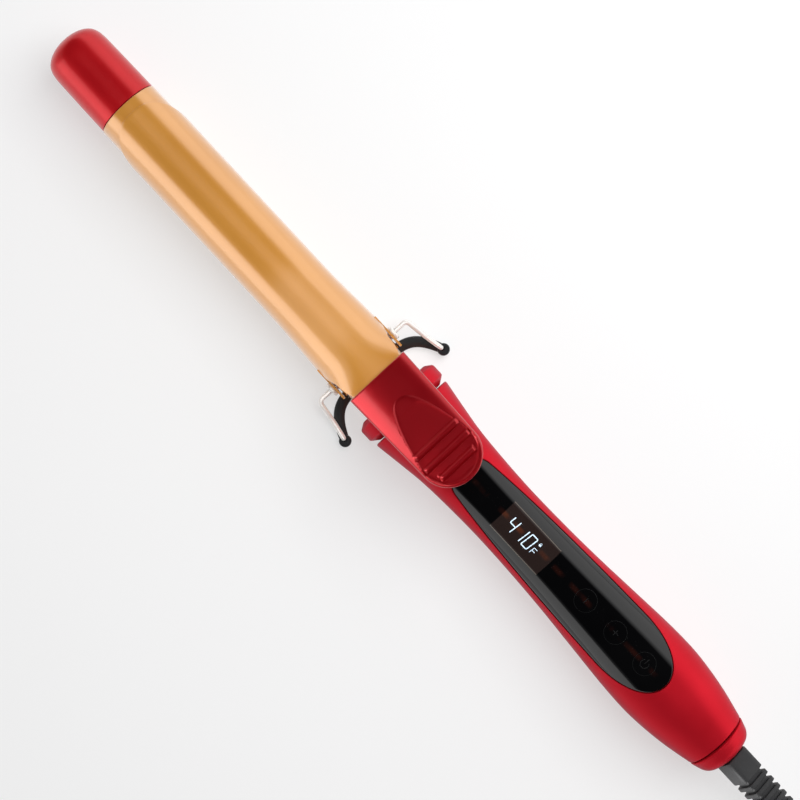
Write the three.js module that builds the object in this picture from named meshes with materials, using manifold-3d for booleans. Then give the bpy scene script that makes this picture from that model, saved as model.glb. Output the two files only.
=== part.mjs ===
// A spring-clamp curling iron with a digital handle, a folding wire stand and a swivel cord.
// Millimetres. X runs along the iron towards the cool tip, Y across it and Z up.
// Inside this file x is measured from the middle of the iron without its strain relief, and z
// from the barrel's axis. The group at the end moves both to the middle of the whole object
// and to the surface that it lies on.
import * as THREE from 'three';
import { mergeVertices } from 'three/addons/utils/BufferGeometryUtils.js';
import Module from 'manifold-3d';

const wasm = await Module();
wasm.setup();

// ---------------------------------------------------------------- driving dimensions
const GAP = 0.3; // between pieces that touch
const AXIS_HEIGHT = 17; // the barrel's axis above the table
const WALL = 2; // moulded walls of the handle

const BARREL_R = 12.7; // a one-inch barrel
const BARREL_WALL = 1;
const BARREL_BACK_X = -24;
const SEAT_R = 13.05; // bore of the handle round the barrel
const TIP_SEAM_X = 148.7;
const TIP_X = 183.2;
const TIP_R = 12.45;

const PLATE_T = 0.8; // sheet of the clamp plate
const PLATE_FRONT_X = 144;
const PLATE_FRONT_DEPTH = 13; // length of the plate's rounded front
const PLATE_RISE_X = 56; // where it leaves the barrel
const PLATE_WRAP = THREE.MathUtils.degToRad(84);
const PLATE_BACK_X = -20;

const LEVER_FRONT_X = 12.1;
const LEVER_END_X = -38.1;
const LEVER_FRONT_Z = 19.7;
const LEVER_SLOPE = 0.195;
const LEVER_T = 2.2;
const LEVER_HALF = 13.3; // half width at its front
const LEVER_ROUND_X = -26.6; // where its rounded end begins
const LEVER_REAR_HALF = 12.3; // half width there
const LEVER_ARCH = 4.2; // depth of its arched section

const HINGE_X = 20.4; // one axis for the clamp and the stand
const HINGE_Z = -8;
const EAR_Y = 14; // inner face of the clamp plate's ears
const RIVET_R = 1.65;
const WIRE_R = 1;
const WIRE_BORE_R = 1.25;

const FOOT_X = 2.8;
const FOOT_Y = 25.6;
const FOOT_R = 2.4;
const CROSSBAR_X = 15.3; // middle of the stand's crossbar
const CROSSBAR_Z = -15.2;

const COLLAR_R = 18.3;
const HANDLE_FRONT_X = -6.3;
const CAP_SEAM_X = -172.9;
const CAP_END_X = -181;
const SADDLE_Z = 14.2; // flat top of the handle's nose, under the lever
const SADDLE_BACK_X = -31;
const LEAF_RIVET_R = 0.9;
const LEAF_RIVET_X = -25.4;

const PANEL_T = 1.1;
const PANEL_FRONT_X = -32;
const PANEL_END_X = -142.6;
const PANEL_HALF = 13.1;
const TOUCH_X = { minus: -100, plus: -115.8, power: -131.2 };

const HEATER_HALF_T = 1.4; // half thickness of the heater element
const BALL_X = -172; // the cord's swivel ball
const BALL_R = 7.2;
const STEM_R = 4.4;

const RELIEF_TILT = THREE.MathUtils.degToRad(24);
const RELIEF_FRONT_X = -181.5;
const RELIEF_END_X = -225.2;
const RELIEF_SIZE = [10.6, 10.7];

const CORD_R = 2.8;
const COIL_CENTRE = [-317, 13];
const COIL_MEAN_R = 33.6;
const TURN_PITCH = 5.75; // between neighbouring turns of the coil
const COIL_COLUMNS = 4;
const COIL_LAYERS = 3;
const COIL_LIFT = 0.9; // the tie passes under the coil
const TIE_T = 0.6;
const TIE_ANGLE = THREE.MathUtils.degToRad(105);

// Half width of the handle along x, from its front shoulder to the rear cap's seam.
const HANDLE_OUTLINE = [
  [-6.3, 17.7], [-18.7, 15.85], [-28, 14.6], [-40, 13.8], [-57, 13.3], [-75, 13.6],
  [-93, 14.4], [-112, 15.75], [-130, 17], [-142, 17.25], [-152, 16.5], [-162, 15],
  [-172.9, 12.6],
];

// ---------------------------------------------------------------- colours and looks
const look = (color, roughness, metalness) =>
  new THREE.MeshStandardMaterial({ color, roughness, metalness });

const LOOKS = {
  red: look(0xb01828, 0.45, 0),
  gold: look(0xe0a864, 0.32, 0.6),
  chrome: look(0xd8d4cc, 0.15, 1),
  black: look(0x121212, 0.4, 0),
  panel: look(0x080808, 0.08, 0),
  grey: look(0x444444, 0.6, 0),
  steel: look(0xa8a8a8, 0.35, 1),
  aluminium: look(0xc0c0c4, 0.4, 1),
  ceramic: look(0xe4dfd2, 0.6, 0),
  board: look(0x1f5a32, 0.5, 0),
  copper: look(0xb87333, 0.3, 1),
  brass: look(0xb99a4e, 0.3, 1),
};

const iron = new THREE.Group();

function add(name, geometry, material) {
  const mesh = new THREE.Mesh(geometry, material);
  mesh.name = name;
  iron.add(mesh);
  return mesh;
}

// ---------------------------------------------------------------- geometry helpers
function toSolid(geometry) {
  const bare = geometry.clone();
  bare.deleteAttribute('normal');
  bare.deleteAttribute('uv');
  const merged = mergeVertices(bare, 1e-4);
  return new wasm.Manifold(new wasm.Mesh({
    numProp: 3,
    vertProperties: new Float32Array(merged.attributes.position.array),
    triVerts: new Uint32Array(merged.index.array),
  }));
}

function toGeometry(solid) {
  const mesh = solid.getMesh();
  const geometry = new THREE.BufferGeometry();
  geometry.setAttribute('position', new THREE.BufferAttribute(mesh.vertProperties, 3));
  geometry.setIndex(new THREE.BufferAttribute(mesh.triVerts, 1));
  geometry.computeVertexNormals();
  return geometry;
}

// A box between two corners.
function box(low, high) {
  const size = high.map((value, axis) => value - low[axis]);
  const centre = high.map((value, axis) => (value + low[axis]) / 2);
  return new THREE.BoxGeometry(...size).translate(...centre);
}

// A cylinder whose ends are at two points of one coordinate axis.
function rod(axis, from, to, radius, centre = [0, 0, 0], sides = 16) {
  const geometry = new THREE.CylinderGeometry(radius, radius, to - from, sides);
  geometry.translate(0, (from + to) / 2, 0);
  if (axis === 'x') geometry.rotateZ(-Math.PI / 2);
  if (axis === 'z') geometry.rotateX(Math.PI / 2);
  return geometry.translate(...centre);
}

// A body of revolution about X from [x, radius] points, given from the low x to the high x.
function turned(points, sides = 32) {
  const profile = points.map(([x, radius]) => new THREE.Vector2(radius, x));
  return new THREE.LatheGeometry(profile, sides).rotateZ(-Math.PI / 2);
}

// The side faces of a skin through rings of points, all with the same count.
function skinIndex(rows, count) {
  const index = [];
  for (let i = 0; i + 1 < rows; i += 1) {
    for (let j = 0; j < count; j += 1) {
      const a = i * count + j;
      const b = i * count + ((j + 1) % count);
      index.push(a, b, a + count, b, b + count, a + count);
    }
  }
  return index;
}

function closedSkin(positions, index) {
  const geometry = new THREE.BufferGeometry();
  geometry.setAttribute('position', new THREE.Float32BufferAttribute(positions, 3));
  geometry.setIndex(index);
  return facingOut(geometry);
}

// A closed skin through rings of points, all with the same count, flat at both ends.
function loft(rings) {
  const count = rings[0].length;
  const positions = rings.flat(2);
  const index = skinIndex(rings.length, count);
  [[0, 1], [rings.length - 1, -1]].forEach(([end, side]) => {
    const centre = positions.length / 3;
    const ring = rings[end];
    [0, 1, 2].forEach((axis) => {
      positions.push(ring.reduce((sum, point) => sum + point[axis], 0) / count);
    });
    for (let j = 0; j < count; j += 1) {
      const a = end * count + j;
      const b = end * count + ((j + 1) % count);
      if (side > 0) index.push(centre, b, a);
      else index.push(centre, a, b);
    }
  });
  return closedSkin(positions, index);
}

// Turns every face over if the skin encloses a negative volume.
function facingOut(geometry) {
  const position = geometry.attributes.position;
  const index = geometry.index.array;
  const [a, b, c] = [0, 1, 2].map(() => new THREE.Vector3());
  let volume = 0;
  for (let i = 0; i < index.length; i += 3) {
    a.fromBufferAttribute(position, index[i]);
    b.fromBufferAttribute(position, index[i + 1]);
    c.fromBufferAttribute(position, index[i + 2]);
    volume += a.dot(b.cross(c));
  }
  if (volume < 0) {
    for (let i = 0; i < index.length; i += 3) {
      [index[i + 1], index[i + 2]] = [index[i + 2], index[i + 1]];
    }
  }
  geometry.computeVertexNormals();
  return geometry;
}

// A sheet between two grids of points with the same rows and columns, closed round its edge.
function sheet(outer, inner) {
  const columns = outer[0].length;
  const count = columns * 2;
  const rings = outer.map((row, i) => [...row, ...inner[i].slice().reverse()]);
  const index = skinIndex(rings.length, count);
  [[0, false], [rings.length - 1, true]].forEach(([end, turnedOver]) => {
    const first = end * count;
    for (let j = 0; j + 1 < columns; j += 1) {
      const [a, b] = [first + j, first + j + 1];
      const [c, d] = [first + count - 2 - j, first + count - 1 - j];
      if (turnedOver) index.push(a, b, c, a, c, d);
      else index.push(a, c, b, a, d, c);
    }
  });
  return closedSkin(rings.flat(2), index);
}

// A round tube along points, through a smooth curve.
function tube(points, radius, sides, steps) {
  const path = new THREE.CatmullRomCurve3(points.map((point) => new THREE.Vector3(...point)));
  const circle = new THREE.Shape();
  for (let i = 0; i < sides; i += 1) {
    const angle = (i / sides) * Math.PI * 2;
    const move = i ? 'lineTo' : 'moveTo';
    circle[move](radius * Math.cos(angle), radius * Math.sin(angle));
  }
  circle.closePath();
  return new THREE.ExtrudeGeometry(circle, { extrudePath: path, steps, bevelEnabled: false });
}

// Smooth value at x of a curve through [x, value] points with falling x.
function along(points, x) {
  const last = points.length - 1;
  const i = Math.min(Math.max(points.findIndex((point) => x > point[0]) - 1, 0), last - 1);
  const k = x <= points[last][0] ? last - 1 : i;
  const slope = (n) => {
    const before = points[Math.max(n - 1, 0)];
    const after = points[Math.min(n + 1, last)];
    return (after[1] - before[1]) / (after[0] - before[0]);
  };
  const [x0, y0] = points[k];
  const [x1, y1] = points[k + 1];
  const span = x1 - x0;
  const t = Math.min(Math.max((x - x0) / span, 0), 1);
  return (2 * t ** 3 - 3 * t ** 2 + 1) * y0 + (t ** 3 - 2 * t ** 2 + t) * span * slope(k)
    + (3 * t ** 2 - 2 * t ** 3) * y1 + (t ** 3 - t ** 2) * span * slope(k + 1);
}

const range = (count) => Array.from({ length: count }, (_, i) => i);
const mix = (a, b, t) => a + (b - a) * t;
const smooth = (from, to, x) => THREE.MathUtils.smoothstep((x - from) / (to - from), 0, 1);

// ---------------------------------------------------------------- handle
const HANDLE_SIDES = 24;
const HANDLE_TOP = 0.98; // height of the upper half over its half width

function handleRing(x, half, top = HANDLE_TOP) {
  return range(HANDLE_SIDES).map((j) => {
    const angle = (j / HANDLE_SIDES) * Math.PI * 2;
    const z = half * Math.sin(angle);
    return [x, half * Math.cos(angle), z > 0 ? z * top : z];
  });
}

// The handle's outer form, inset by a depth.
function handleForm(inset, from = HANDLE_FRONT_X, to = CAP_SEAM_X + GAP / 2, stations = 16) {
  return toSolid(loft(range(stations + 1).map((i) => {
    const x = mix(from, to, i / stations);
    return handleRing(x, along(HANDLE_OUTLINE, x) - inset);
  })));
}

// The handle's hollow: a round seat for the barrel, then the wall's thickness all along.
function handleHollow() {
  const stations = range(13).map((i) => mix(SADDLE_BACK_X - 4, CAP_SEAM_X - 1, i / 12));
  const rings = [
    handleRing(HANDLE_FRONT_X + 1, SEAT_R, 1),
    handleRing(SADDLE_BACK_X + 2, SEAT_R, 1),
    ...stations.map((x) => handleRing(x, along(HANDLE_OUTLINE, x) - WALL)),
  ];
  return toSolid(loft(rings));
}

// Outline of the control panel from above, inset by a distance.
function panelOutline(inset) {
  const shape = new THREE.Shape();
  const front = PANEL_FRONT_X - inset;
  const end = PANEL_END_X + inset;
  const half = PANEL_HALF - inset;
  const nose = 8.8 - inset;
  const waist = 11.7 - inset;
  shape.moveTo(front, 0);
  shape.bezierCurveTo(front, nose * 0.5, front - 2.5, nose * 0.9, front - 7, nose);
  shape.bezierCurveTo(-56, waist - 0.8, -85, half - 0.6, -120, half);
  shape.bezierCurveTo(end + 9, half, end, half * 0.6, end, 0);
  shape.bezierCurveTo(end, -half * 0.6, end + 9, -half, -120, -half);
  shape.bezierCurveTo(-85, 0.6 - half, -56, 0.8 - waist, front - 7, -nose);
  shape.bezierCurveTo(front - 2.5, -nose * 0.9, front, -nose * 0.5, front, 0);
  const prism = new THREE.ExtrudeGeometry(shape, { depth: 20, bevelEnabled: false, curveSegments: 8 });
  return toSolid(prism.translate(0, 0, 4));
}

const SCREWS_X = [-44, -98, -158];
const SCREW_R = 1.3;
const SCREW_HEAD_R = 2.5;
const HEAD_DEPTH = 3.4; // from the handle's underside to the top of a screw's head
const BOSS_R = 3.4;
const WEB_TOP_Z = 2.8;

// A boss round each screw, tied to the upper shell's walls by a web under the circuit board.
function bosses() {
  return SCREWS_X.flatMap((x) => [
    toSolid(rod('z', -20, WEB_TOP_Z, BOSS_R, [x, 0, 0], 14)),
    toSolid(box([x - 1, -20, 0], [x + 1, 20, WEB_TOP_Z])),
  ]);
}

// What is cut away for the flat top of the nose, and below the surface that the iron lies on.
const saddleCut = () => toSolid(box([SADDLE_BACK_X, -20, SADDLE_Z], [10, 20, 25]));
const tableCut = () => toSolid(box([-190, -30, -30], [10, 30, -AXIS_HEIGHT]));

function makeHandle() {
  const hollow = handleHollow();
  const inside = handleForm(WALL / 2);
  const body = handleForm(0);
  const posts = bosses().reduce((all, post) => all.add(post)).intersect(inside);
  const whole = body.subtract(hollow).add(posts);

  const recess = panelOutline(0).subtract(handleForm(PANEL_T + GAP));
  const window = panelOutline(2.2);
  const holes = SCREWS_X.map((x) => toSolid(rod('z', -20, 4, SCREW_R + GAP, [x, 0, 0], 12)));
  const rivet = toSolid(rod('z', 10, 20, LEAF_RIVET_R + GAP, [LEAF_RIVET_X, 0, 0], 12));
  const below = toSolid(box([-190, -30, -30], [10, 30, 0]));
  const upper = [saddleCut(), recess, window, rivet, ...holes, below]
    .reduce((left, cut) => left.subtract(cut), whole);
  add('handle_upper_shell', toGeometry(upper), LOOKS.red);

  const sinks = SCREWS_X.map((x) => {
    const under = -along(HANDLE_OUTLINE, x);
    return toSolid(rod('z', under - 3, under + HEAD_DEPTH, SCREW_HEAD_R + GAP, [x, 0, 0], 14));
  });
  const above = toSolid(box([-190, -30, -GAP], [10, 30, 30]));
  const lower = [tableCut(), ...sinks, ...holes, above]
    .reduce((left, cut) => left.subtract(cut), whole);
  add('handle_lower_shell', toGeometry(lower), LOOKS.red);

  const panel = panelOutline(GAP).intersect(handleForm(0.1)).subtract(handleForm(PANEL_T));
  add('control_panel', toGeometry(panel), LOOKS.panel);
}

function makeShellScrews() {
  SCREWS_X.forEach((x, i) => {
    const headTop = -along(HANDLE_OUTLINE, x) + HEAD_DEPTH - GAP;
    const head = toSolid(rod('z', headTop - 1.6, headTop, SCREW_HEAD_R, [x, 0, 0], 14));
    const shank = toSolid(rod('z', headTop - 0.5, WEB_TOP_Z - 0.3, SCREW_R, [x, 0, 0], 10));
    const slotLong = toSolid(box([x - 1.5, -0.35, headTop - 3], [x + 1.5, 0.35, headTop - 0.9]));
    const slotWide = toSolid(box([x - 0.35, -1.5, headTop - 3], [x + 0.35, 1.5, headTop - 0.9]));
    const screw = head.add(shank).subtract(slotLong).subtract(slotWide);
    add(`shell_screw_${i + 1}`, toGeometry(screw), LOOKS.steel);
  });
}

// The ring that closes the handle's front round the barrel, with a flat to rest on below.
function makeCollar() {
  const back = HANDLE_FRONT_X + GAP;
  const bore = BARREL_R + GAP;
  const ring = toSolid(turned([
    [back, bore], [back, 15], [-4.2, 17.6], [-3.6, COLLAR_R], [0.8, COLLAR_R], [1.5, 18],
    [3.2, 15.4], [3.2, bore], [back, bore],
  ]));
  add('front_collar', toGeometry(ring.subtract(saddleCut()).subtract(tableCut())), LOOKS.red);
}

// The cap that closes the handle's back and holds the cord's swivel ball.
function makeRearCap() {
  const front = CAP_SEAM_X - GAP / 2;
  const shell = toSolid(turned([
    [CAP_END_X, 0], [CAP_END_X + 0.3, 6.2], [CAP_END_X + 1.4, 9.6], [CAP_END_X + 3, 11],
    [CAP_END_X + 5, 11.8], [front, 12.55], [front, 0],
  ], HANDLE_SIDES));
  const socket = toSolid(new THREE.SphereGeometry(BALL_R + 0.4, 16, 10).translate(BALL_X, 0, 0));
  const mouth = toSolid(rod('x', -190, -170, STEM_R + 0.5, [0, 0, 0], 20));
  const frontOpening = toSolid(rod('x', -175.5, -160, 8.2, [0, 0, 0], 20));
  const cap = shell.subtract(socket).subtract(mouth).subtract(frontOpening);
  add('rear_cap', toGeometry(cap), LOOKS.red);
}

// ---------------------------------------------------------------- electronics
function makeElectronics() {
  add('control_board', box([-140, -8.5, 3.2], [-50, 8.5, 4.8]), LOOKS.board);
  add('display_module', box([-82, -6.4, 5.1], [-55, 6.4, 9.6]), LOOKS.black);
  Object.entries(TOUCH_X).forEach(([name, x]) => {
    const post = toSolid(rod('z', 5.1, 11, 2.2, [x, 0, 0], 12));
    const pad = toSolid(rod('z', 10, 11.4, 4.3, [x, 0, 0], 18));
    add(`touch_sensor_${name}`, toGeometry(post.add(pad)), LOOKS.copper);
  });
}

// ---------------------------------------------------------------- barrel and heater
function makeBarrel() {
  const inner = BARREL_R - BARREL_WALL;
  add('barrel', turned([
    [BARREL_BACK_X, inner], [BARREL_BACK_X, BARREL_R], [TIP_SEAM_X - GAP, BARREL_R],
    [TIP_SEAM_X - GAP, inner], [BARREL_BACK_X, inner],
  ]), LOOKS.gold);
  const plug = BARREL_R - BARREL_WALL - GAP;
  add('cool_tip', turned([
    [TIP_SEAM_X - 9, 0], [TIP_SEAM_X - 9, plug], [TIP_SEAM_X, plug], [TIP_SEAM_X, TIP_R - 0.3],
    [TIP_SEAM_X + 0.4, TIP_R], [TIP_X - 8, TIP_R - 0.4], [TIP_X - 4.6, 11.2],
    [TIP_X - 2.4, 9.3], [TIP_X - 0.9, 6.4], [TIP_X - 0.2, 3.2], [TIP_X, 0],
  ]), LOOKS.red);
}

function makeHeater() {
  add('heater_element', box([25, -5, -HEATER_HALF_T], [125, 5, HEATER_HALF_T]), LOOKS.ceramic);
  // Two half-round aluminium bars press the heater between them and fill the barrel.
  const r = BARREL_R - BARREL_WALL - GAP;
  const round = toSolid(rod('x', 22, 128, r, [0, 0, 0], 32));
  const slotHalf = HEATER_HALF_T + GAP;
  const slot = toSolid(box([0, -20, -slotHalf], [160, 20, slotHalf]));
  const bars = round.subtract(slot);
  const lightening = toSolid(box([0, -3.5, 4], [160, 3.5, 8]));
  const below = toSolid(box([0, -20, -20], [160, 20, 0]));
  const upper = bars.subtract(below).subtract(lightening);
  const lower = bars.intersect(below).subtract(toSolid(box([0, -3.5, -8], [160, 3.5, -4])));
  add('heat_spreader_upper', toGeometry(upper), LOOKS.aluminium);
  add('heat_spreader_lower', toGeometry(lower), LOOKS.aluminium);
  add('temperature_sensor', rod('x', 60, 64, 1.1, [0, 0, 6], 10), LOOKS.ceramic);
  add('thermal_fuse', rod('x', 4, 16, 1.8, [0, -5, 2], 12), LOOKS.steel);
  // An insulating disc holds the barrel's end in the handle, with a hole for the wires.
  const disc = toSolid(turned([
    [-29, 0], [-29, BARREL_R], [BARREL_BACK_X - GAP, BARREL_R], [BARREL_BACK_X - GAP, 11.3],
    [-16, 11.3], [-16, 0],
  ], 28));
  const wires = toSolid(box([-40, -3.4, -2.2], [0, 3.4, 2.2]));
  add('barrel_insulator', toGeometry(disc.subtract(wires)), LOOKS.ceramic);
  [['live', 1.7], ['neutral', -1.7]].forEach(([name, y]) => {
    const out = Math.sign(y) * 5.6;
    const route = [[23.5, y, 0], [5, y, 0], [-26, y, 0], [-31, mix(y, out, 0.2), 0.7],
      [-37, mix(y, out, 0.85), 3.4], [-42, out, 4.2], [-49, out, 4.2]];
    add(`heater_lead_${name}`, tube(route, 0.8, 8, 18), LOOKS.ceramic);
  });
}

// ---------------------------------------------------------------- hinge on the barrel
function makeHinge() {
  const strap = toSolid(turned([
    [14.8, 13], [14.8, 13.7], [26, 13.7], [26, 13], [14.8, 13],
  ], 40));
  const upper = toSolid(box([0, -20, -3], [40, 20, 20]));
  add('hinge_bracket', toGeometry(strap.subtract(upper)), LOOKS.gold);

  [['left', 1], ['right', -1]].forEach(([name, side]) => {
    const centre = [HINGE_X, 0, HINGE_Z];
    const ends = (a, b) => (side > 0 ? [a, b] : [-b, -a]);
    const shank = toSolid(rod('y', ...ends(12.6, 15.3), RIVET_R, centre, 16));
    const head = toSolid(rod('y', ...ends(15.1, 16.6), 2.8, centre, 20));
    const bore = toSolid(rod('y', ...ends(10, 18), WIRE_BORE_R, centre, 12));
    add(`hinge_rivet_${name}`, toGeometry(shank.add(head).subtract(bore)), LOOKS.chrome);
  });
}

// A bowed leaf spring, riveted to the handle's nose, pushes the lever up and closes the clamp.
const LEAF = { width: 6, thickness: 0.5, back: -29.4, bend: -20.5, contact: -10.4 };

function makeSpring() {
  const low = SADDLE_Z + GAP;
  const high = leverTop(LEAF.contact) - LEVER_T - 2 * GAP - PLATE_T - LEAF.thickness;
  const line = [
    [LEAF.back, low], [LEAF.bend - 1.5, low], [LEAF.bend, low + 0.35],
    [mix(LEAF.bend, LEAF.contact, 0.25), mix(low, high, 0.24)],
    [mix(LEAF.bend, LEAF.contact, 0.5), mix(low, high, 0.52)],
    [mix(LEAF.bend, LEAF.contact, 0.75), mix(low, high, 0.82)],
    [LEAF.contact - 0.6, high - 0.1], [LEAF.contact + 0.8, high - 0.1],
    [LEAF.contact + 2, high - 0.7],
  ];
  const outline = new THREE.Shape();
  line.forEach(([x, z], i) => (i ? outline.lineTo(x, z) : outline.moveTo(x, z)));
  line.slice().reverse().forEach(([x, z]) => outline.lineTo(x, z + LEAF.thickness));
  outline.closePath();
  const strip = new THREE.ExtrudeGeometry(outline, { depth: LEAF.width, bevelEnabled: false });
  strip.rotateX(Math.PI / 2).translate(0, LEAF.width / 2, 0);
  const hole = toSolid(rod('z', 10, 20, LEAF_RIVET_R + GAP, [LEAF_RIVET_X, 0, 0], 12));
  add('clamp_spring', toGeometry(toSolid(strip).subtract(hole)), LOOKS.steel);

  const top = low + LEAF.thickness + GAP;
  const head = toSolid(rod('z', top, top + 0.6, 1.9, [LEAF_RIVET_X, 0, 0], 14));
  const shank = toSolid(rod('z', 13.3, top + 0.2, LEAF_RIVET_R, [LEAF_RIVET_X, 0, 0], 12));
  add('spring_rivet', toGeometry(head.add(shank)), LOOKS.steel);
}

// ---------------------------------------------------------------- clamp: plate and lever
const leverTop = (x) => LEVER_FRONT_Z + LEVER_SLOPE * (LEVER_FRONT_X - x);

// The plate's section at x: the height of its middle, its half width, how far its sides come
// down, and how far round it wraps. It rises from the barrel to the lever's underside.
function plateSection(x) {
  const pipe = BARREL_R + GAP + PLATE_T;
  const underLever = LEVER_FRONT_Z - LEVER_T - GAP;
  const rising = mix(pipe, underLever, smooth(PLATE_RISE_X, LEVER_FRONT_X - 6, x));
  const ramp = underLever + 0.02 * (LEVER_FRONT_X - x);
  const raised = smooth(PLATE_RISE_X, 24, x);
  const trim = smooth(27, 19, x);
  const tongue = smooth(19, 4, x);
  return {
    top: x < LEVER_FRONT_X ? leverTop(x) - LEVER_T - GAP : Math.min(rising, ramp),
    half: mix(pipe, EAR_Y + PLATE_T, raised),
    drop: mix(mix(pipe, 14.8, raised), 5.6, smooth(28, 12, x)),
    wrap: mix(mix(PLATE_WRAP, 1.08, trim), 0.62, tongue),
  };
}

function makeClampPlate() {
  const stations = [PLATE_FRONT_X, 128, 92, PLATE_RISE_X, 50, 44, 38, 33, 29, 26, 23, 20.5, 18,
    15.5, 13, 8, 4, PLATE_BACK_X];
  const columns = 12;
  const skin = (t) => stations.map((x, i) => range(columns + 1).map((j) => {
    const { top, half, drop, wrap } = plateSection(x);
    const share = (2 * j) / columns - 1;
    const angle = share * wrap;
    const back = i ? 0 : PLATE_FRONT_DEPTH * Math.abs(share) ** 2.6;
    return [x - back, (half - t) * Math.sin(angle), top - t - (drop - t) * (1 - Math.cos(angle))];
  }));
  const body = toSolid(sheet(skin(0), skin(PLATE_T)));
  const ears = [1, -1].map((side) => makeEar(side));
  const plate = body.add(ears[0]).add(ears[1]);
  add('clamp_plate', toGeometry(plate), LOOKS.gold);
}

// One ear, folded down from the plate's edge, with a running hole for its rivet.
function makeEar(side) {
  const outline = new THREE.Shape();
  outline.moveTo(14.4, 4.5);
  outline.lineTo(14.4, HINGE_Z);
  outline.absarc(HINGE_X, HINGE_Z, 4.4, Math.PI, Math.PI * 2, false);
  outline.lineTo(27.5, 0);
  outline.lineTo(29, 4.5);
  outline.closePath();
  const hole = new THREE.Path();
  hole.absarc(HINGE_X, HINGE_Z, RIVET_R + GAP, 0, Math.PI * 2, true);
  outline.holes.push(hole);
  const ear = new THREE.ExtrudeGeometry(outline, {
    depth: PLATE_T, bevelEnabled: false, curveSegments: 10,
  });
  ear.rotateX(Math.PI / 2);
  const y = side > 0 ? EAR_Y + PLATE_T : -EAR_Y;
  return toSolid(ear.translate(0, y, 0));
}

// Half width of the lever: straight sides and an elliptical end.
function leverHalf(x) {
  const share = (LEVER_FRONT_X - x) / (LEVER_FRONT_X - LEVER_ROUND_X);
  if (x >= LEVER_ROUND_X) return mix(LEVER_HALF, LEVER_REAR_HALF, share);
  const t = (LEVER_ROUND_X - x) / (LEVER_ROUND_X - LEVER_END_X);
  return LEVER_REAR_HALF * Math.sqrt(Math.max(1 - t * t, 0.0004));
}

const leverArch = (y) => LEVER_ARCH * (1 - Math.sqrt(1 - 0.96 * (y / LEVER_HALF) ** 2));

// Depth of the thumb recess: a leaf shape, narrow and blunt towards the tip.
const RECESS = { front: 0.7, widest: -25.5, back: -36.9, half: 11.5, depth: 1.7 };
function recessDepth(x, y) {
  const { front, widest, back, half, depth } = RECESS;
  if (x > front || x < back) return 0;
  const t = x > widest ? (x - widest) / (front - widest) : (widest - x) / (widest - back);
  const reach = half * (x > widest ? (1 - t) ** 0.4 : Math.sqrt(1 - t * t));
  const inside = 1 - (y / Math.max(reach, 0.01)) ** 2;
  return inside > 0 ? depth * Math.sqrt(inside) * Math.min(1, (1 - t) * 3) : 0;
}

function makeLever() {
  const end = range(7)
    .map((i) => mix(LEVER_ROUND_X, LEVER_END_X, Math.sin((i / 6) * (Math.PI / 2))));
  const stations = [LEVER_FRONT_X, 6, 0, -4, -9, -15, -21, ...end];
  const columns = 12;
  const skin = (t) => stations.map((x) => range(columns + 1).map((j) => {
    const y = leverHalf(x) * ((2 * j) / columns - 1);
    const hollow = t ? 0 : recessDepth(x, y);
    return [x, y, leverTop(x) - t - leverArch(y) - hollow];
  }));
  let lever = toSolid(sheet(skin(0), skin(LEVER_T)));
  const ribs = [[-19.4, 10.3], [-25.1, 10.9], [-30.8, 8.4]];
  ribs.forEach(([x, half]) => {
    const z = leverTop(x);
    const rib = toSolid(box([x - 1.2, -half, z - 2.1], [x + 1.2, half, z - 0.9]));
    lever = lever.add(rib);
  });
  add('lever', toGeometry(lever), LOOKS.red);

  // Each rivet's flat head lies under the plate's tongue.
  [['front', -1], ['rear', -16]].forEach(([name, x]) => {
    const under = leverTop(x) - LEVER_T - 2 * GAP - PLATE_T;
    add(`lever_rivet_${name}`, rod('z', under - 0.7, under - 0.1, 1.9, [x, 0, 0], 14), LOOKS.steel);
  });
}

// ---------------------------------------------------------------- folding stand
function crossbarX(y) {
  return CROSSBAR_X - (CROSSBAR_X - FOOT_X) * (Math.abs(y) / FOOT_Y) ** 5.5;
}

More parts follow.
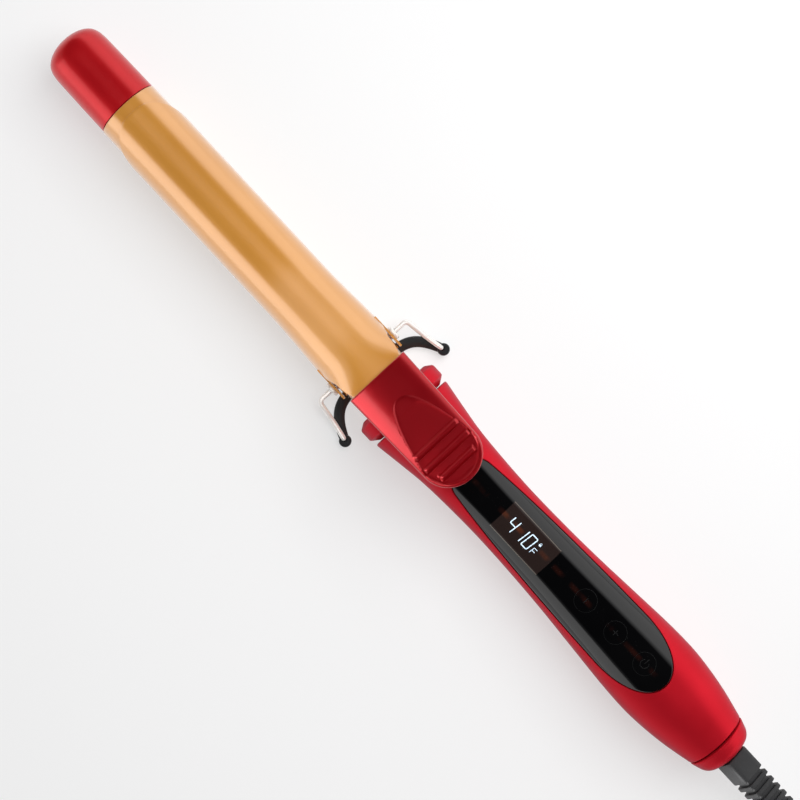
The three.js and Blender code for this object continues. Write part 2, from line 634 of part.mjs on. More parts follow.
function makeStand() {
  const footZ = FOOT_R - AXIS_HEIGHT;
  const legTop = [HINGE_X - 3.4, 22.9, HINGE_Z - 1.3];
  const legMiddle = [HINGE_X - 10, 24, HINGE_Z - 3.8];
  const legEnd = [FOOT_X + 0.2, FOOT_Y - 0.1, footZ + 1.9];
  [['left', 1], ['right', -1]].forEach(([name, side]) => {
    const route = [
      [HINGE_X, 13, HINGE_Z], [HINGE_X, 16, HINGE_Z], [HINGE_X, 19, HINGE_Z],
      [HINGE_X - 0.1, 21.3, HINGE_Z - 0.05], [HINGE_X - 1.2, 22.5, HINGE_Z - 0.5],
      legTop, legMiddle, legEnd,
    ].map(([x, y, z]) => [x, y * side, z]);
    add(`stand_wire_${name}`, tube(route, WIRE_R, 8, 18), LOOKS.chrome);
  });

  // The moulded crossbar: a flat arch between two round feet, each with a groove for its wire.
  const stations = range(17).map((i) => mix(-FOOT_Y + 0.6, FOOT_Y - 0.6, i / 16));
  const rings = stations.map((y) => {
    const share = Math.abs(y) / FOOT_Y;
    const x = crossbarX(y);
    const z = mix(CROSSBAR_Z, footZ, share ** 2);
    const slope = (crossbarX(y + 0.1) - crossbarX(y - 0.1)) / 0.2;
    const length = Math.hypot(slope, 1);
    const across = [1 / length, -slope / length];
    const half = mix(2.2, 1.7, share ** 3);
    return [[-1, -0.55], [-1, 0.55], [-0.45, 1], [0.45, 1], [1, 0.55], [1, -0.55], [0.45, -1],
      [-0.45, -1]].map(([a, b]) => [x + across[0] * a * half, y + across[1] * a * half, z + b * 1.1]);
  });
  let bar = toSolid(loft(rings));
  [1, -1].forEach((side) => {
    const foot = new THREE.CapsuleGeometry(FOOT_R, 1.6, 3, 12).rotateX(Math.PI / 2);
    foot.translate(FOOT_X, side * FOOT_Y, footZ);
    const flat = toSolid(box([-10, -40, -40], [20, 40, -AXIS_HEIGHT]));
    bar = bar.add(toSolid(foot).subtract(flat).trimByPlane([0, 0, -1], -footZ - 2.2));
    const past = [legEnd[0] - 0.7, legEnd[1], legEnd[2] - 0.1];
    const run = [legTop, legMiddle, past].map(([x, y, z]) => [x, y * side, z]);
    bar = bar.subtract(toSolid(tube(run, WIRE_R + GAP, 8, 8)));
  });
  add('stand_crossbar', toGeometry(bar), LOOKS.black);
}

// ---------------------------------------------------------------- swivel and strain relief
function roundedSection(x, width, height) {
  const corner = 1.2;
  const points = [];
  [[1, 1, 0], [-1, 1, 1], [-1, -1, 2], [1, -1, 3]].forEach(([sy, sz, quarter]) => {
    range(2).forEach((i) => {
      const angle = (quarter + i) * (Math.PI / 2);
      points.push([
        x,
        sy * (width / 2 - corner) + corner * Math.cos(angle),
        sz * (height / 2 - corner) + corner * Math.sin(angle),
      ]);
    });
  });
  return points;
}

function makeStrainRelief() {
  const [width, height] = RELIEF_SIZE;
  const BLOCK_END_X = -191.2;
  const RIB_PITCH = 3.5;
  const ribs = 9;
  const rings = [];
  const ring = (x, scale) => rings.push(roundedSection(x, width * scale, height * scale));
  ring(RELIEF_FRONT_X, 1);
  ring(BLOCK_END_X, 1);
  range(ribs).forEach((i) => {
    const x = BLOCK_END_X - i * RIB_PITCH;
    const scale = 1 - 0.3 * smooth(4, ribs, i);
    const neck = scale * 0.84;
    ring(x - 0.05, neck);
    ring(x - RIB_PITCH / 2, neck);
    ring(x - RIB_PITCH / 2 - 0.05, scale);
    ring(x - RIB_PITCH, scale);
  });
  ring(RELIEF_END_X + 2.4, 0.66);
  ring(RELIEF_END_X, 0.64);
  const boot = toSolid(loft(rings)).rotate([THREE.MathUtils.radToDeg(RELIEF_TILT), 0, 0]);
  const neck = toSolid(rod('x', -182.5, -180, STEM_R, [0, 0, 0], 18));
  add('strain_relief', toGeometry(boot.add(neck)), LOOKS.grey);

  const ball = toSolid(new THREE.SphereGeometry(BALL_R, 14, 8).translate(BALL_X, 0, 0));
  const stem = toSolid(rod('x', -179.7, BALL_X, STEM_R, [0, 0, 0], 18));
  add('swivel_ball', toGeometry(ball.add(stem)), LOOKS.grey);
}

// ---------------------------------------------------------------- cord, coil and plug
const TABLE_Z = -AXIS_HEIGHT;
const BUNDLE_HALF = (COIL_COLUMNS * TURN_PITCH) / 2;
const COIL_BASE_Z = TABLE_Z + COIL_LIFT;
const COIL_TOP_Z = COIL_BASE_Z + COIL_LAYERS * TURN_PITCH;

// The last stretch lies on the coil: it moves outwards, follows the coil, then turns across it
// and climbs to the plug, which lies on top. Angles are in degrees.
const TAIL = { start: 28, shift: 137, hold: 26, turn: 135, radius: 32.8, bend: 25 };
const PLUG = { relief: 11, length: 26, width: 22, height: 14, blade: 17, spacing: 12.7 };

// A point of the coil at an angle in degrees and a radius from a centre.
function onRing([cx, cy], degrees, radius, z) {
  const angle = THREE.MathUtils.degToRad(degrees);
  return [cx + radius * Math.cos(angle), cy + radius * Math.sin(angle), z];
}

function tailRoute() {
  const inner = COIL_MEAN_R - ((COIL_COLUMNS - 1) / 2) * TURN_PITCH;
  const lying = COIL_TOP_Z + GAP + CORD_R;
  const plugZ = lying + CORD_R + GAP + PLUG.height / 2;
  const bendAt = TAIL.start - TAIL.shift - TAIL.hold;
  const centre = onRing(COIL_CENTRE, bendAt, TAIL.radius - TAIL.bend, 0);
  const shift = range(7).map((i) => {
    const share = smooth(0, 1, i / 6);
    const radius = mix(inner, TAIL.radius, share);
    return onRing(COIL_CENTRE, TAIL.start - TAIL.shift * (i / 6), radius, lying);
  });
  const turn = range(8).map((i) => {
    const z = mix(lying, plugZ, smooth(0, 1, i / 7));
    return onRing(centre, bendAt - TAIL.turn * (i / 7), TAIL.bend, z);
  });
  return [...shift, ...turn];
}

function makeCord() {
  // From the strain relief down to the table and round to the coil's outer side.
  const lead = [
    [RELIEF_END_X - GAP, 0, 0], [-232, 0, -0.1], [-239, -0.3, -1.6], [-247, -1.4, -5.6],
    [-255, -3.8, -10.1], [-263, -7.6, -13.1], [-271, -12.6, -14.1], [-279, -18.4, -14.2],
    [-286.5, -24.2, -14.1],
  ];
  add('cord_lead', tube(lead, CORD_R, 8, 14), LOOKS.grey);

  const [cx, cy] = COIL_CENTRE;
  const ring = new THREE.LatheGeometry([
    [COIL_MEAN_R - BUNDLE_HALF, COIL_BASE_Z], [COIL_MEAN_R + BUNDLE_HALF, COIL_BASE_Z],
    [COIL_MEAN_R + BUNDLE_HALF, COIL_TOP_Z], [COIL_MEAN_R - BUNDLE_HALF, COIL_TOP_Z],
    [COIL_MEAN_R - BUNDLE_HALF, COIL_BASE_Z],
  ].map(([r, z]) => new THREE.Vector2(r, z)), 32);
  add('cord_coil', ring.rotateX(Math.PI / 2).translate(cx, cy, 0), LOOKS.grey);

  // The tie is a band round the coil's bundle.
  const [inner, outer] = [-1, 1].map((side) => COIL_MEAN_R + side * (BUNDLE_HALF + GAP));
  const band = toSolid(box(
    [inner - TIE_T, -2.5, TABLE_Z], [outer + TIE_T, 2.5, COIL_TOP_Z + GAP + TIE_T],
  ));
  const bundle = toSolid(box([inner, -4, TABLE_Z + TIE_T], [outer, 4, COIL_TOP_Z + GAP]));
  const tie = toGeometry(band.subtract(bundle));
  tie.rotateZ(TIE_ANGLE).translate(cx, cy, 0);
  add('coil_tie', tie, LOOKS.black);
  makePlug();
}

function makePlug() {
  const tail = tailRoute();
  add('cord_tail', tube(tail, CORD_R, 8, 26), LOOKS.grey);
  const [endX, y, z] = tail[tail.length - 1];
  const x = endX + 2 * GAP;
  const half = PLUG.width / 2;
  const neckEnd = x + PLUG.relief;
  const section = (at, width, height) => roundedSection(at, width, height)
    .map(([px, py, pz]) => [px, py + y, pz + z]);
  const body = toSolid(loft([
    section(x, 6.6, 6.6), section(neckEnd, 9, 8), section(neckEnd + 5, half * 1.5, 12),
    section(neckEnd + 11, PLUG.width, PLUG.height),
    section(neckEnd + PLUG.length, PLUG.width, PLUG.height),
  ]));
  const front = neckEnd + PLUG.length;
  const sockets = [1, -1].map((side) => {
    const middle = y + (side * PLUG.spacing) / 2;
    return toSolid(box([front - 4, middle - 1.05, z - 3.5], [front + 1, middle + 1.05, z + 3.5]));
  });
  const plug = body.subtract(sockets[0]).subtract(sockets[1]);
  add('plug_body', toGeometry(plug), LOOKS.black);
  [['left', 1], ['right', -1]].forEach(([name, side]) => {
    const middle = y + (side * PLUG.spacing) / 2;
    const low = [front - 3.6, middle - 0.75, z - 3.17];
    const blade = box(low, [front + PLUG.blade, middle + 0.75, z + 3.17]);
    add(`plug_blade_${name}`, blade, LOOKS.brass);
  });
}

// ---------------------------------------------------------------- the whole iron
makeHandle();
makeShellScrews();
makeCollar();
makeRearCap();
makeElectronics();
makeBarrel();
makeHeater();
makeHinge();
makeSpring();
makeClampPlate();
makeLever();
makeStand();
makeStrainRelief();
makeCord();

iron.position.set(-(TIP_X + RELIEF_END_X) / 2, 0, AXIS_HEIGHT);

export default iron;
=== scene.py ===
"""A spring-clamp curling iron on a pale floor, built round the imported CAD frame.

Lengths are in millimetres in the iron's own coordinates: x from the middle of the iron
towards the cool tip, y across it, z up from the barrel's axis. place() turns such a point
into metres in the frame's coordinates, where +Z is up and the floor is at 0.
"""
import math

import bpy
import numpy as np
from mathutils import Matrix, Vector


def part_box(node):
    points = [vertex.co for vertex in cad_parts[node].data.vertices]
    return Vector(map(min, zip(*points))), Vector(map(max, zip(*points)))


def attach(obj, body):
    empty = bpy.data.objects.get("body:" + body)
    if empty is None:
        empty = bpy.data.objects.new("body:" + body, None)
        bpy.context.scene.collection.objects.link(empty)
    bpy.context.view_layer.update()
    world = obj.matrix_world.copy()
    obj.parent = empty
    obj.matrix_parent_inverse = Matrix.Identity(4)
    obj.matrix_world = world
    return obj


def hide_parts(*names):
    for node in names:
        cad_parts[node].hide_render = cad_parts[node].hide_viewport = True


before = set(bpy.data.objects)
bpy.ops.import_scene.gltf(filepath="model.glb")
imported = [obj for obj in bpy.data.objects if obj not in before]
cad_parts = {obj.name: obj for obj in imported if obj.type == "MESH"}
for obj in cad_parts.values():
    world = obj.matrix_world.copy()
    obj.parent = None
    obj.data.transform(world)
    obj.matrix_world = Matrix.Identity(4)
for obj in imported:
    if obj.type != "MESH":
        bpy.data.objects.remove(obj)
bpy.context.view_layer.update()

MM = 0.001
SIDES = (("left", 1), ("right", -1))

# ---------------------------------------------------------------- driving dimensions
GAP = 0.3  # between pieces that touch
WALL = 2.0  # moulded walls of the handle
BARREL_R = 12.7
BARREL_WALL = 1.0
BARREL_BACK_X = -24.0
TIP_SEAM_X = 148.7
TIP_X = 183.2
TIP_R = 12.45
PLATE_T = 0.8  # sheet of the clamp plate
PLATE_FRONT_X = 144.0
PLATE_FRONT_DEPTH = 13.0
PLATE_RISE_X = 56.0  # where it leaves the barrel
PLATE_BACK_X = -20.0
LEVER_FRONT_X = 12.1
LEVER_ROUND_X = -26.6  # where its rounded end begins
LEVER_END_X = -38.1
LEVER_FRONT_Z = 19.7
LEVER_SLOPE = 0.195
LEVER_T = 2.2
LEVER_HALF = 13.3  # half width at its front
LEVER_REAR_HALF = 12.3
LEVER_ARCH = 4.2  # depth of its arched section
HINGE_X = 20.4  # one axis for the clamp and the stand
HINGE_Z = -8.0
EAR_Y = 14.0  # inner face of the plate's ears
RIVET_R = 1.65
WIRE_R = 1.0
WIRE_BORE_R = 1.25
FOOT_X = 2.8
FOOT_Y = 25.6
FOOT_R = 2.4
CROSSBAR_X = 15.3
CROSSBAR_Z = -15.2
COLLAR_R = 18.3
HANDLE_FRONT_X = -6.3
HANDLE_TOP = 0.98  # its height over its half width, above the parting line
CAP_SEAM_X = -172.9
CAP_END_X = -181.0
SADDLE_Z = 14.2  # flat top of the handle's nose, under the lever
SADDLE_BACK_X = -31.0
PANEL_T = 1.1
PANEL_FRONT_X = -32.0
PANEL_END_X = -142.6
PANEL_HALF = 13.1
PANEL_WIDEST_X = -120.0
RELIEF_TILT = math.radians(24)
RELIEF_FRONT_X = -181.5
RELIEF_END_X = -225.2
RELIEF_SIZE = (10.6, 10.7)
CORD_R = 2.8
COIL_CENTRE = (-317.0, 13.0)
COIL_MEAN_R = 33.6
TURN_PITCH = 5.75
COIL_COLUMNS = 4
COIL_LAYERS = 3
COIL_LIFT = 0.9  # of the coil, over the tie under it
TIE_T = 0.6
TIE_ANGLE = math.radians(105)

# Half width of the handle along x, from its front shoulder to the rear cap's seam.
HANDLE_OUTLINE = [
    (-6.3, 17.7), (-18.7, 15.85), (-28, 14.6), (-40, 13.8), (-57, 13.3), (-75, 13.6),
    (-93, 14.4), (-112, 15.75), (-130, 17), (-142, 17.25), (-152, 16.5), (-162, 15),
    (-172.9, 12.6),
]

# The iron's origin in the frame: the cool tip gives x, and the barrel's middle gives z.
_, tip_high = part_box("cool_tip")
barrel_low, barrel_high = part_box("barrel")
AXIS_Z = (barrel_low.z + barrel_high.z) / 2
ORIGIN = Vector((tip_high.x - TIP_X * MM, 0, AXIS_Z))
TABLE_Z = -AXIS_Z / MM


def place(point):
    return ORIGIN + Vector(point) * MM


def add(name, data):
    """A new object in the scene."""
    made = bpy.data.objects.new(name, data)
    bpy.context.scene.collection.objects.link(made)
    return made


# ---------------------------------------------------------------- camera
CAMERA_HEIGHT = 0.695  # above the barrel's axis
SEEN_WIDTH = 0.2988  # across the picture, at the barrel's axis
CAMERA_ASIDE = -0.0003  # towards -y
SENSOR = 36.0
AXIS_ANGLE = math.radians(47.06)  # of the iron in the picture, from the horizontal

camera_data = bpy.data.cameras.new("camera")
camera_data.sensor_width = SENSOR
camera_data.lens = SENSOR * CAMERA_HEIGHT / SEEN_WIDTH
camera_data.clip_start = 0.01
camera = add("camera", camera_data)
right = Vector((-math.cos(AXIS_ANGLE), -math.sin(AXIS_ANGLE), 0))
up = Vector((math.sin(AXIS_ANGLE), -math.cos(AXIS_ANGLE), 0))
turn = Matrix((right, up, Vector((0, 0, 1)))).transposed()
spot = ORIGIN + Vector((0, CAMERA_ASIDE, CAMERA_HEIGHT))
camera.matrix_world = Matrix.Translation(spot) @ turn.to_4x4()
bpy.context.scene.camera = camera
bpy.context.scene.view_settings.view_transform = "Standard"


# ---------------------------------------------------------------- material helpers
def srgb(red, green, blue):
    """A linear colour from 8-bit sRGB values."""
    def linear(value):
        share = value / 255
        return share / 12.92 if share <= 0.04045 else ((share + 0.055) / 1.055) ** 2.4
    return (linear(red), linear(green), linear(blue), 1.0)


class Tree:
    """A node tree, with short calls for the nodes that these looks use."""

    def __init__(self, tree):
        self.tree = tree

    def feed(self, socket, value):
        """Links another node's output to the socket, or sets it to a plain value."""
        if isinstance(value, bpy.types.NodeSocket):
            self.tree.links.new(value, socket)
        else:
            socket.default_value = value

    def new(self, kind, inputs=None, **settings):
        node = self.tree.nodes.new(kind)
        for name, value in settings.items():
            setattr(node, name, value)
        for name, value in (inputs or {}).items():
            self.feed(node.inputs[name], value)
        return node

    def ramp(self, source, low, high, start=0.0, end=1.0):
        """source's values from low to high, spread from start to end and clamped."""
        inputs = {"Value": source, "From Min": low, "From Max": high, "To Min": start,
                  "To Max": end}
        return self.new("ShaderNodeMapRange", inputs, clamp=True).outputs[0]

    def spread(self, source, low, high):
        """A noise's usual values, from 0.3 to 0.7, spread from low to high."""
        return self.ramp(source, 0.3, 0.7, low, high)

    def blend(self, share, first, second):
        inputs = {"Factor": share, "A": first, "B": second}
        return self.new("ShaderNodeMix", inputs, data_type="RGBA").outputs["Result"]

    def math(self, operation, first, second=0):
        node = self.new("ShaderNodeMath", operation=operation)
        for socket, value in zip(node.inputs, (first, second)):
            self.feed(socket, value)
        return node.outputs[0]

    def away(self, value, middle):
        """How far the value is from the middle, to either side."""
        return self.math("ABSOLUTE", self.math("SUBTRACT", value, middle))


class Material(Tree):
    """A material's node tree, round its shader."""

    def __init__(self, name):
        self.material = bpy.data.materials.new(name)
        self.material.use_nodes = True
        super().__init__(self.material.node_tree)
        self.shader = self.tree.nodes["Principled BSDF"]
        self.where = self.new("ShaderNodeTexCoord").outputs["Object"]

    def set(self, **values):
        """Feeds the shader's inputs, named with _ for each space."""
        for name, value in values.items():
            self.feed(self.shader.inputs[name.replace("_", " ")], value)

    def noise(self, scale, detail=3.0, stretch=(1, 1, 1)):
        mapping = self.new("ShaderNodeMapping", {"Scale": stretch, "Vector": self.where})
        inputs = {"Scale": scale, "Detail": detail, "Vector": mapping.outputs[0]}
        return self.new("ShaderNodeTexNoise", inputs).outputs["Fac"]

    def bump(self, height, distance):
        inputs = {"Height": height, "Distance": distance, "Strength": 1.0}
        return self.new("ShaderNodeBump", inputs).outputs[0]


MATERIALS = {}


def add_finish(name, first, second, roughness, metallic=0.0, cloud=60.0, grain=900.0,
               depth=0.000008, stretch=(1, 1, 1), **values):
    """A material of two close colours in soft clouds, with uneven gloss and a fine grain."""
    nodes = Material(name)
    colour = nodes.blend(nodes.spread(nodes.noise(cloud), 0, 1), srgb(*first), srgb(*second))
    smudges = nodes.noise(cloud * 2.3, 2, stretch)
    nodes.set(Metallic=metallic, Base_Color=colour,
              Roughness=nodes.spread(smudges, *roughness), **values)
    if depth:
        nodes.set(Normal=nodes.bump(nodes.noise(grain, 4, stretch), depth))
    MATERIALS[name] = nodes.material


add_finish("red_plastic", (212, 30, 45), (204, 27, 41), (0.36, 0.42), metallic=0.42, depth=0,
           Specular_IOR_Level=0.12, Specular_Tint=(0.2, 0.5, 0.6, 1))
add_finish("tip_plastic", (206, 24, 32), (198, 21, 29), (0.34, 0.4), metallic=0.5, depth=0,
           Specular_IOR_Level=0.2, Coat_Weight=0.5, Coat_Roughness=0.2, Coat_IOR=1.5)
add_finish("lever_plastic", (186, 20, 32), (178, 18, 29), (0.285, 0.33), metallic=0.72, depth=0,
           Specular_IOR_Level=0.3, Coat_Weight=0.6, Coat_Roughness=0.18, Coat_IOR=1.5)
add_finish("circuit_board", (24, 84, 44), (18, 66, 36), (0.35, 0.5))
add_finish("copper", (206, 132, 84), (186, 112, 70), (0.285, 0.4), metallic=1.0)
add_finish("screw_steel", (168, 168, 170), (140, 140, 144), (0.285, 0.4), metallic=1.0)
add_finish("spring_steel", (150, 152, 156), (120, 122, 128), (0.285, 0.36), metallic=1.0)
add_finish("gold_coating", (225, 155, 64), (219, 149, 59), (0.31, 0.35), metallic=0.25,
           cloud=24.0, depth=0, stretch=(0.3, 1, 1), Coat_Weight=1.0, Coat_Roughness=0.2,
           Coat_IOR=1.95, Sheen_Weight=0.55, Sheen_Roughness=0.4)
add_finish("chrome", (244, 240, 236), (234, 230, 226), (0.285, 0.33), metallic=0.5, depth=0,
           Coat_Weight=0.6, Coat_Roughness=0.1)
add_finish("aluminium", (190, 192, 196), (170, 172, 178), (0.3, 0.45), metallic=1.0,
           stretch=(0.05, 1, 1))
add_finish("ceramic", (228, 222, 208), (214, 206, 190), (0.5, 0.65))
add_finish("wire_sleeve", (222, 216, 200), (204, 198, 182), (0.55, 0.7), grain=1600.0,
           depth=0.00008)
add_finish("stand_plastic", (42, 44, 46), (34, 36, 38), (0.34, 0.44), depth=0.00002)
add_finish("cord_rubber", (52, 52, 53), (40, 40, 42), (0.5, 0.62), depth=0.00005)
add_finish("tie_plastic", (22, 22, 24), (14, 14, 16), (0.35, 0.5), depth=0.00004)
add_finish("plug_plastic", (38, 38, 40), (28, 28, 30), (0.42, 0.55), depth=0.00005)
add_finish("plug_brass", (214, 184, 120), (196, 164, 102), (0.285, 0.37), metallic=1.0)
add_finish("touch_marks", (27, 27, 28), (21, 21, 22), (0.3, 0.4))


def add_display_digits():
    nodes = Material("display_digits")
    glow = nodes.spread(nodes.noise(900.0), 0, 1)
    colour = nodes.blend(glow, srgb(186, 214, 236), srgb(214, 232, 246))
    nodes.set(Roughness=0.4, Emission_Strength=0.7, Base_Color=colour, Emission_Color=colour)
    MATERIALS["display_digits"] = nodes.material


add_display_digits()


# ---------------------------------------------------------------- curves and profiles
def along(points, x):
    """Smooth value at x of a curve through (x, value) points with falling x."""
    last = len(points) - 1
    k = next((i - 1 for i in range(1, last + 1) if x > points[i][0]), last - 1)
    k = min(max(k, 0), last - 1)

    def slope(n):
        before, after = points[max(n - 1, 0)], points[min(n + 1, last)]
        return (after[1] - before[1]) / (after[0] - before[0])

    (x0, y0), (x1, y1) = points[k], points[k + 1]
    span = x1 - x0
    t = min(max((x - x0) / span, 0), 1)
    return ((2 * t**3 - 3 * t**2 + 1) * y0 + (t**3 - 2 * t**2 + t) * span * slope(k)
            + (3 * t**2 - 2 * t**3) * y1 + (t**3 - t**2) * span * slope(k + 1))


def mix(a, b, t):
    return a + (b - a) * t


def smooth(start, end, x):
    t = min(max((x - start) / (end - start), 0), 1)
    return t * t * (3 - 2 * t)


def handle_half(x):
    return along(HANDLE_OUTLINE, x)


def catmull(points, steps):
    """Points on a smooth curve through points, with steps to each stretch."""
    p = [np.array(point, float) for point in points]
    p = [2 * p[0] - p[1], *p, 2 * p[-1] - p[-2]]
    out = []
    for i in range(1, len(p) - 2):
        a, b, c, d = p[i - 1:i + 3]
        for j in range(steps):
            t = j / steps
            out.append(0.5 * (2 * b + (c - a) * t + (2 * a - 5 * b + 4 * c - d) * t**2
                              + (3 * b - a - 3 * c + d) * t**3))
    return [*out, p[-2]]


# ---------------------------------------------------------------- mesh helpers
def make_mesh(name, points, faces, crease=35):
    """An object from points in millimetres, facing out, smooth up to the crease angle."""
    mesh = bpy.data.meshes.new(name)
    mesh.from_pydata([place(point) for point in points], [], faces)
    mesh.validate()
    mesh.update()
    piece = add(name, mesh)
    face_out(piece, crease)
    return piece


def face_out(piece, crease):
    mesh = piece.data
    co = np.empty(len(mesh.vertices) * 3)
    mesh.vertices.foreach_get("co", co)
    co = co.reshape(-1, 3)
    mesh.calc_loop_triangles()
    tris = np.empty(len(mesh.loop_triangles) * 3, int)
    mesh.loop_triangles.foreach_get("vertices", tris)
    a, b, c = (co[tris.reshape(-1, 3)[:, k]] for k in range(3))
    if np.einsum("ij,ij->i", a, np.cross(b, c)).sum() < 0:
        mesh.flip_normals()
    mesh.shade_smooth()
    mesh.set_sharp_from_angle(angle=math.radians(crease))


def ring_faces(rows, count, closed_rows=False):
    """Quads between neighbouring rings, each of count points."""
    faces = []
    for i in range(rows if closed_rows else rows - 1):
        low, high = i * count, ((i + 1) % rows) * count
        for j in range(count):
            k = (j + 1) % count
            faces.append((low + j, low + k, high + k, high + j))
    return faces


def loft(name, rings, crease=35):
    """A closed skin through rings of points, with a flat face over each end."""
    count = len(rings[0])
    faces = ring_faces(len(rings), count)
    last = (len(rings) - 1) * count
    faces.append(tuple(reversed(range(count))))
    faces.append(tuple(range(last, last + count)))
    return make_mesh(name, [p for ring in rings for p in ring], faces, crease)


def sheet(name, outer, inner, crease=35):
    """A closed sheet between two grids of points with the same rows and columns."""
    columns = len(outer[0])
    count = 2 * columns
    rings = [[*top, *reversed(bottom)] for top, bottom in zip(outer, inner)]
    faces = ring_faces(len(rings), count)
    for first, over in ((0, True), ((len(rings) - 1) * count, False)):
        for j in range(columns - 1):
            quad = (first + j, first + j + 1, first + count - 2 - j, first + count - 1 - j)
            faces.append(tuple(reversed(quad)) if over else quad)
    return make_mesh(name, [p for ring in rings for p in ring], faces, crease)


def turned(name, profile, sides=96, axis="x", centre=(0, 0, 0), crease=35):
    """A body of revolution from a closed loop of (along, radius) points.

    Points of radius 0 become one point each, so a solid end closes in a fan."""
    points, rows = [], []
    for at, radius in profile:
        start = len(points)
        if radius < 1e-6:
            points.append((at, 0, 0))
            rows.append([start] * sides)
            continue
        for j in range(sides):
            angle = 2 * math.pi * j / sides
            points.append((at, radius * math.cos(angle), radius * math.sin(angle)))
        rows.append(list(range(start, start + sides)))
    faces = []
    pairs = list(zip(rows, rows[1:]))
    if profile[0][1] > 1e-6 or profile[-1][1] > 1e-6:
        pairs.append((rows[-1], rows[0]))
    for low, high in pairs:
        for j in range(sides):
            k = (j + 1) % sides
            corners = list(dict.fromkeys((low[j], low[k], high[k], high[j])))
            if len(corners) > 2:
                faces.append(tuple(corners))
    swap = {"x": (0, 1, 2), "y": (1, 0, 2), "z": (2, 1, 0)}[axis]
    points = [tuple(p[swap[k]] + centre[k] for k in range(3)) for p in points]
    return make_mesh(name, points, faces, crease)


def rod(name, start, end, radius, sides, axis, centre):
    """A plain cylinder from start to end along its axis."""
    profile = [(start, 0), (start, radius), (end, radius), (end, 0)]
    return turned(name, profile, sides, axis, centre)


def rounded(profile, radius, steps=4):
    """The closed (along, radius) loop with its corners rounded, those on the axis excepted."""
    out = []
    count = len(profile)
    for i, point in enumerate(profile):
        here = np.array(point, float)
        before = np.array(profile[i - 1], float)
        after = np.array(profile[(i + 1) % count], float)
        back, ahead = before - here, after - here
        reach = min(radius, np.linalg.norm(back) * 0.45, np.linalg.norm(ahead) * 0.45)
        if here[1] < 1e-6 or reach < 1e-4:
            out.append(tuple(here))
            continue
        start = here + back / np.linalg.norm(back) * reach
        end = here + ahead / np.linalg.norm(ahead) * reach
        for j in range(steps + 1):
            t = j / steps
            p = (1 - t)**2 * start + 2 * t * (1 - t) * here + t**2 * end
            out.append(tuple(p))
    return out


def tube(name, line, radius, sides=24):
    """A round rod along a dense line, with rounded ends."""
    p = np.array(line, float)
    direction = np.gradient(p, axis=0)
    direction /= np.linalg.norm(direction, axis=1)[:, None]
    across = np.cross(direction[0], (0.3, 0.2, 0.93))
    across /= np.linalg.norm(across)
    ends = [math.sin(math.radians(a)) for a in (15, 40, 65)]
    rings = []

    def ring(centre, d, side, scale=1.0):
        other = np.cross(d, side)
        rings.append([tuple(centre + radius * scale * (math.cos(a) * side + math.sin(a) * other))
                      for a in (2 * math.pi * j / sides for j in range(sides))])

    def back(share):
        return radius * (1 - math.sqrt(1 - share**2))

    for share in ends:
        ring(p[0] + direction[0] * back(share), direction[0], across, share)
    for i in range(1, len(p) - 1):
        across = across - direction[i] * across.dot(direction[i])
        across /= np.linalg.norm(across)
        ring(p[i], direction[i], across)
    for share in reversed(ends):
        ring(p[-1] - direction[-1] * back(share), direction[-1], across, share)
    return loft(name, rings, 60)


def evaluated(piece):
    """Applies the piece's modifiers."""
    depsgraph = bpy.context.evaluated_depsgraph_get()
    done = bpy.data.meshes.new_from_object(piece.evaluated_get(depsgraph))
    old = piece.data
    piece.modifiers.clear()
    piece.data = done
    bpy.data.meshes.remove(old)


def combine(piece, other, operation, crease=35):
    """piece joined with or cut by other, which is used up."""
    modifier = piece.modifiers.new("combine", "BOOLEAN")
    modifier.operation = operation
    modifier.object = other
    modifier.solver = "EXACT"
    evaluated(piece)
    bpy.data.objects.remove(other)
    face_out(piece, crease)
    return piece


def cut(piece, other, crease=35):
    return combine(piece, other, "DIFFERENCE", crease)


def join(piece, other, crease=35):
    return combine(piece, other, "UNION", crease)


def soften(piece, width, segments=2, angle=50, crease=35):
    """Rounds the piece's sharp edges."""
    modifier = piece.modifiers.new("soften", "BEVEL")
    modifier.width = width * MM
    modifier.segments = segments
    modifier.limit_method = "ANGLE"
    modifier.angle_limit = math.radians(angle)
    evaluated(piece)
    face_out(piece, crease)
    return piece


def block(name, low, high):
    x0, y0, z0 = low
    x1, y1, z1 = high
    ring = lambda x: [(x, y0, z0), (x, y1, z0), (x, y1, z1), (x, y0, z1)]
    return loft(name, [ring(x0), ring(x1)], 30)


def dress(piece, material, body, *nodes):
    """Gives a piece its finish, its body and the CAD nodes that it stands for."""
    piece.data.materials.clear()
    piece.data.materials.append(MATERIALS[material])
    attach(piece, body)
    if nodes:
        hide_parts(*nodes)
    return piece


# ---------------------------------------------------------------- mains cord
HOLD = 223.0  # degrees that a turn of the coil stays in its column
SHIFT = 360.0 - HOLD  # degrees in which it moves to the next
JOIN = 58.0  # degrees in which the lead meets the coil's first turn
STEP = 15.0  # degrees between the points of a turn
TAIL_R = 32.8  # of the last turn, which lies on the coil
TAIL_BEND = 25.0  # radius of the bend that leads to the plug
TAIL_TURN = 135.0  # degrees of that bend
PLUG = {"relief": 11, "length": 26, "width": 22, "height": 14, "blade": 17, "spacing": 12.7}
BLADE_HOLE_R = 1.6
TURN_SLACK = 0.075
TOP_Z = TABLE_Z + COIL_LIFT + COIL_LAYERS * TURN_PITCH
LYING_Z = TOP_Z + GAP + CORD_R
PLUG_Z = LYING_Z + CORD_R + GAP + PLUG["height"] / 2


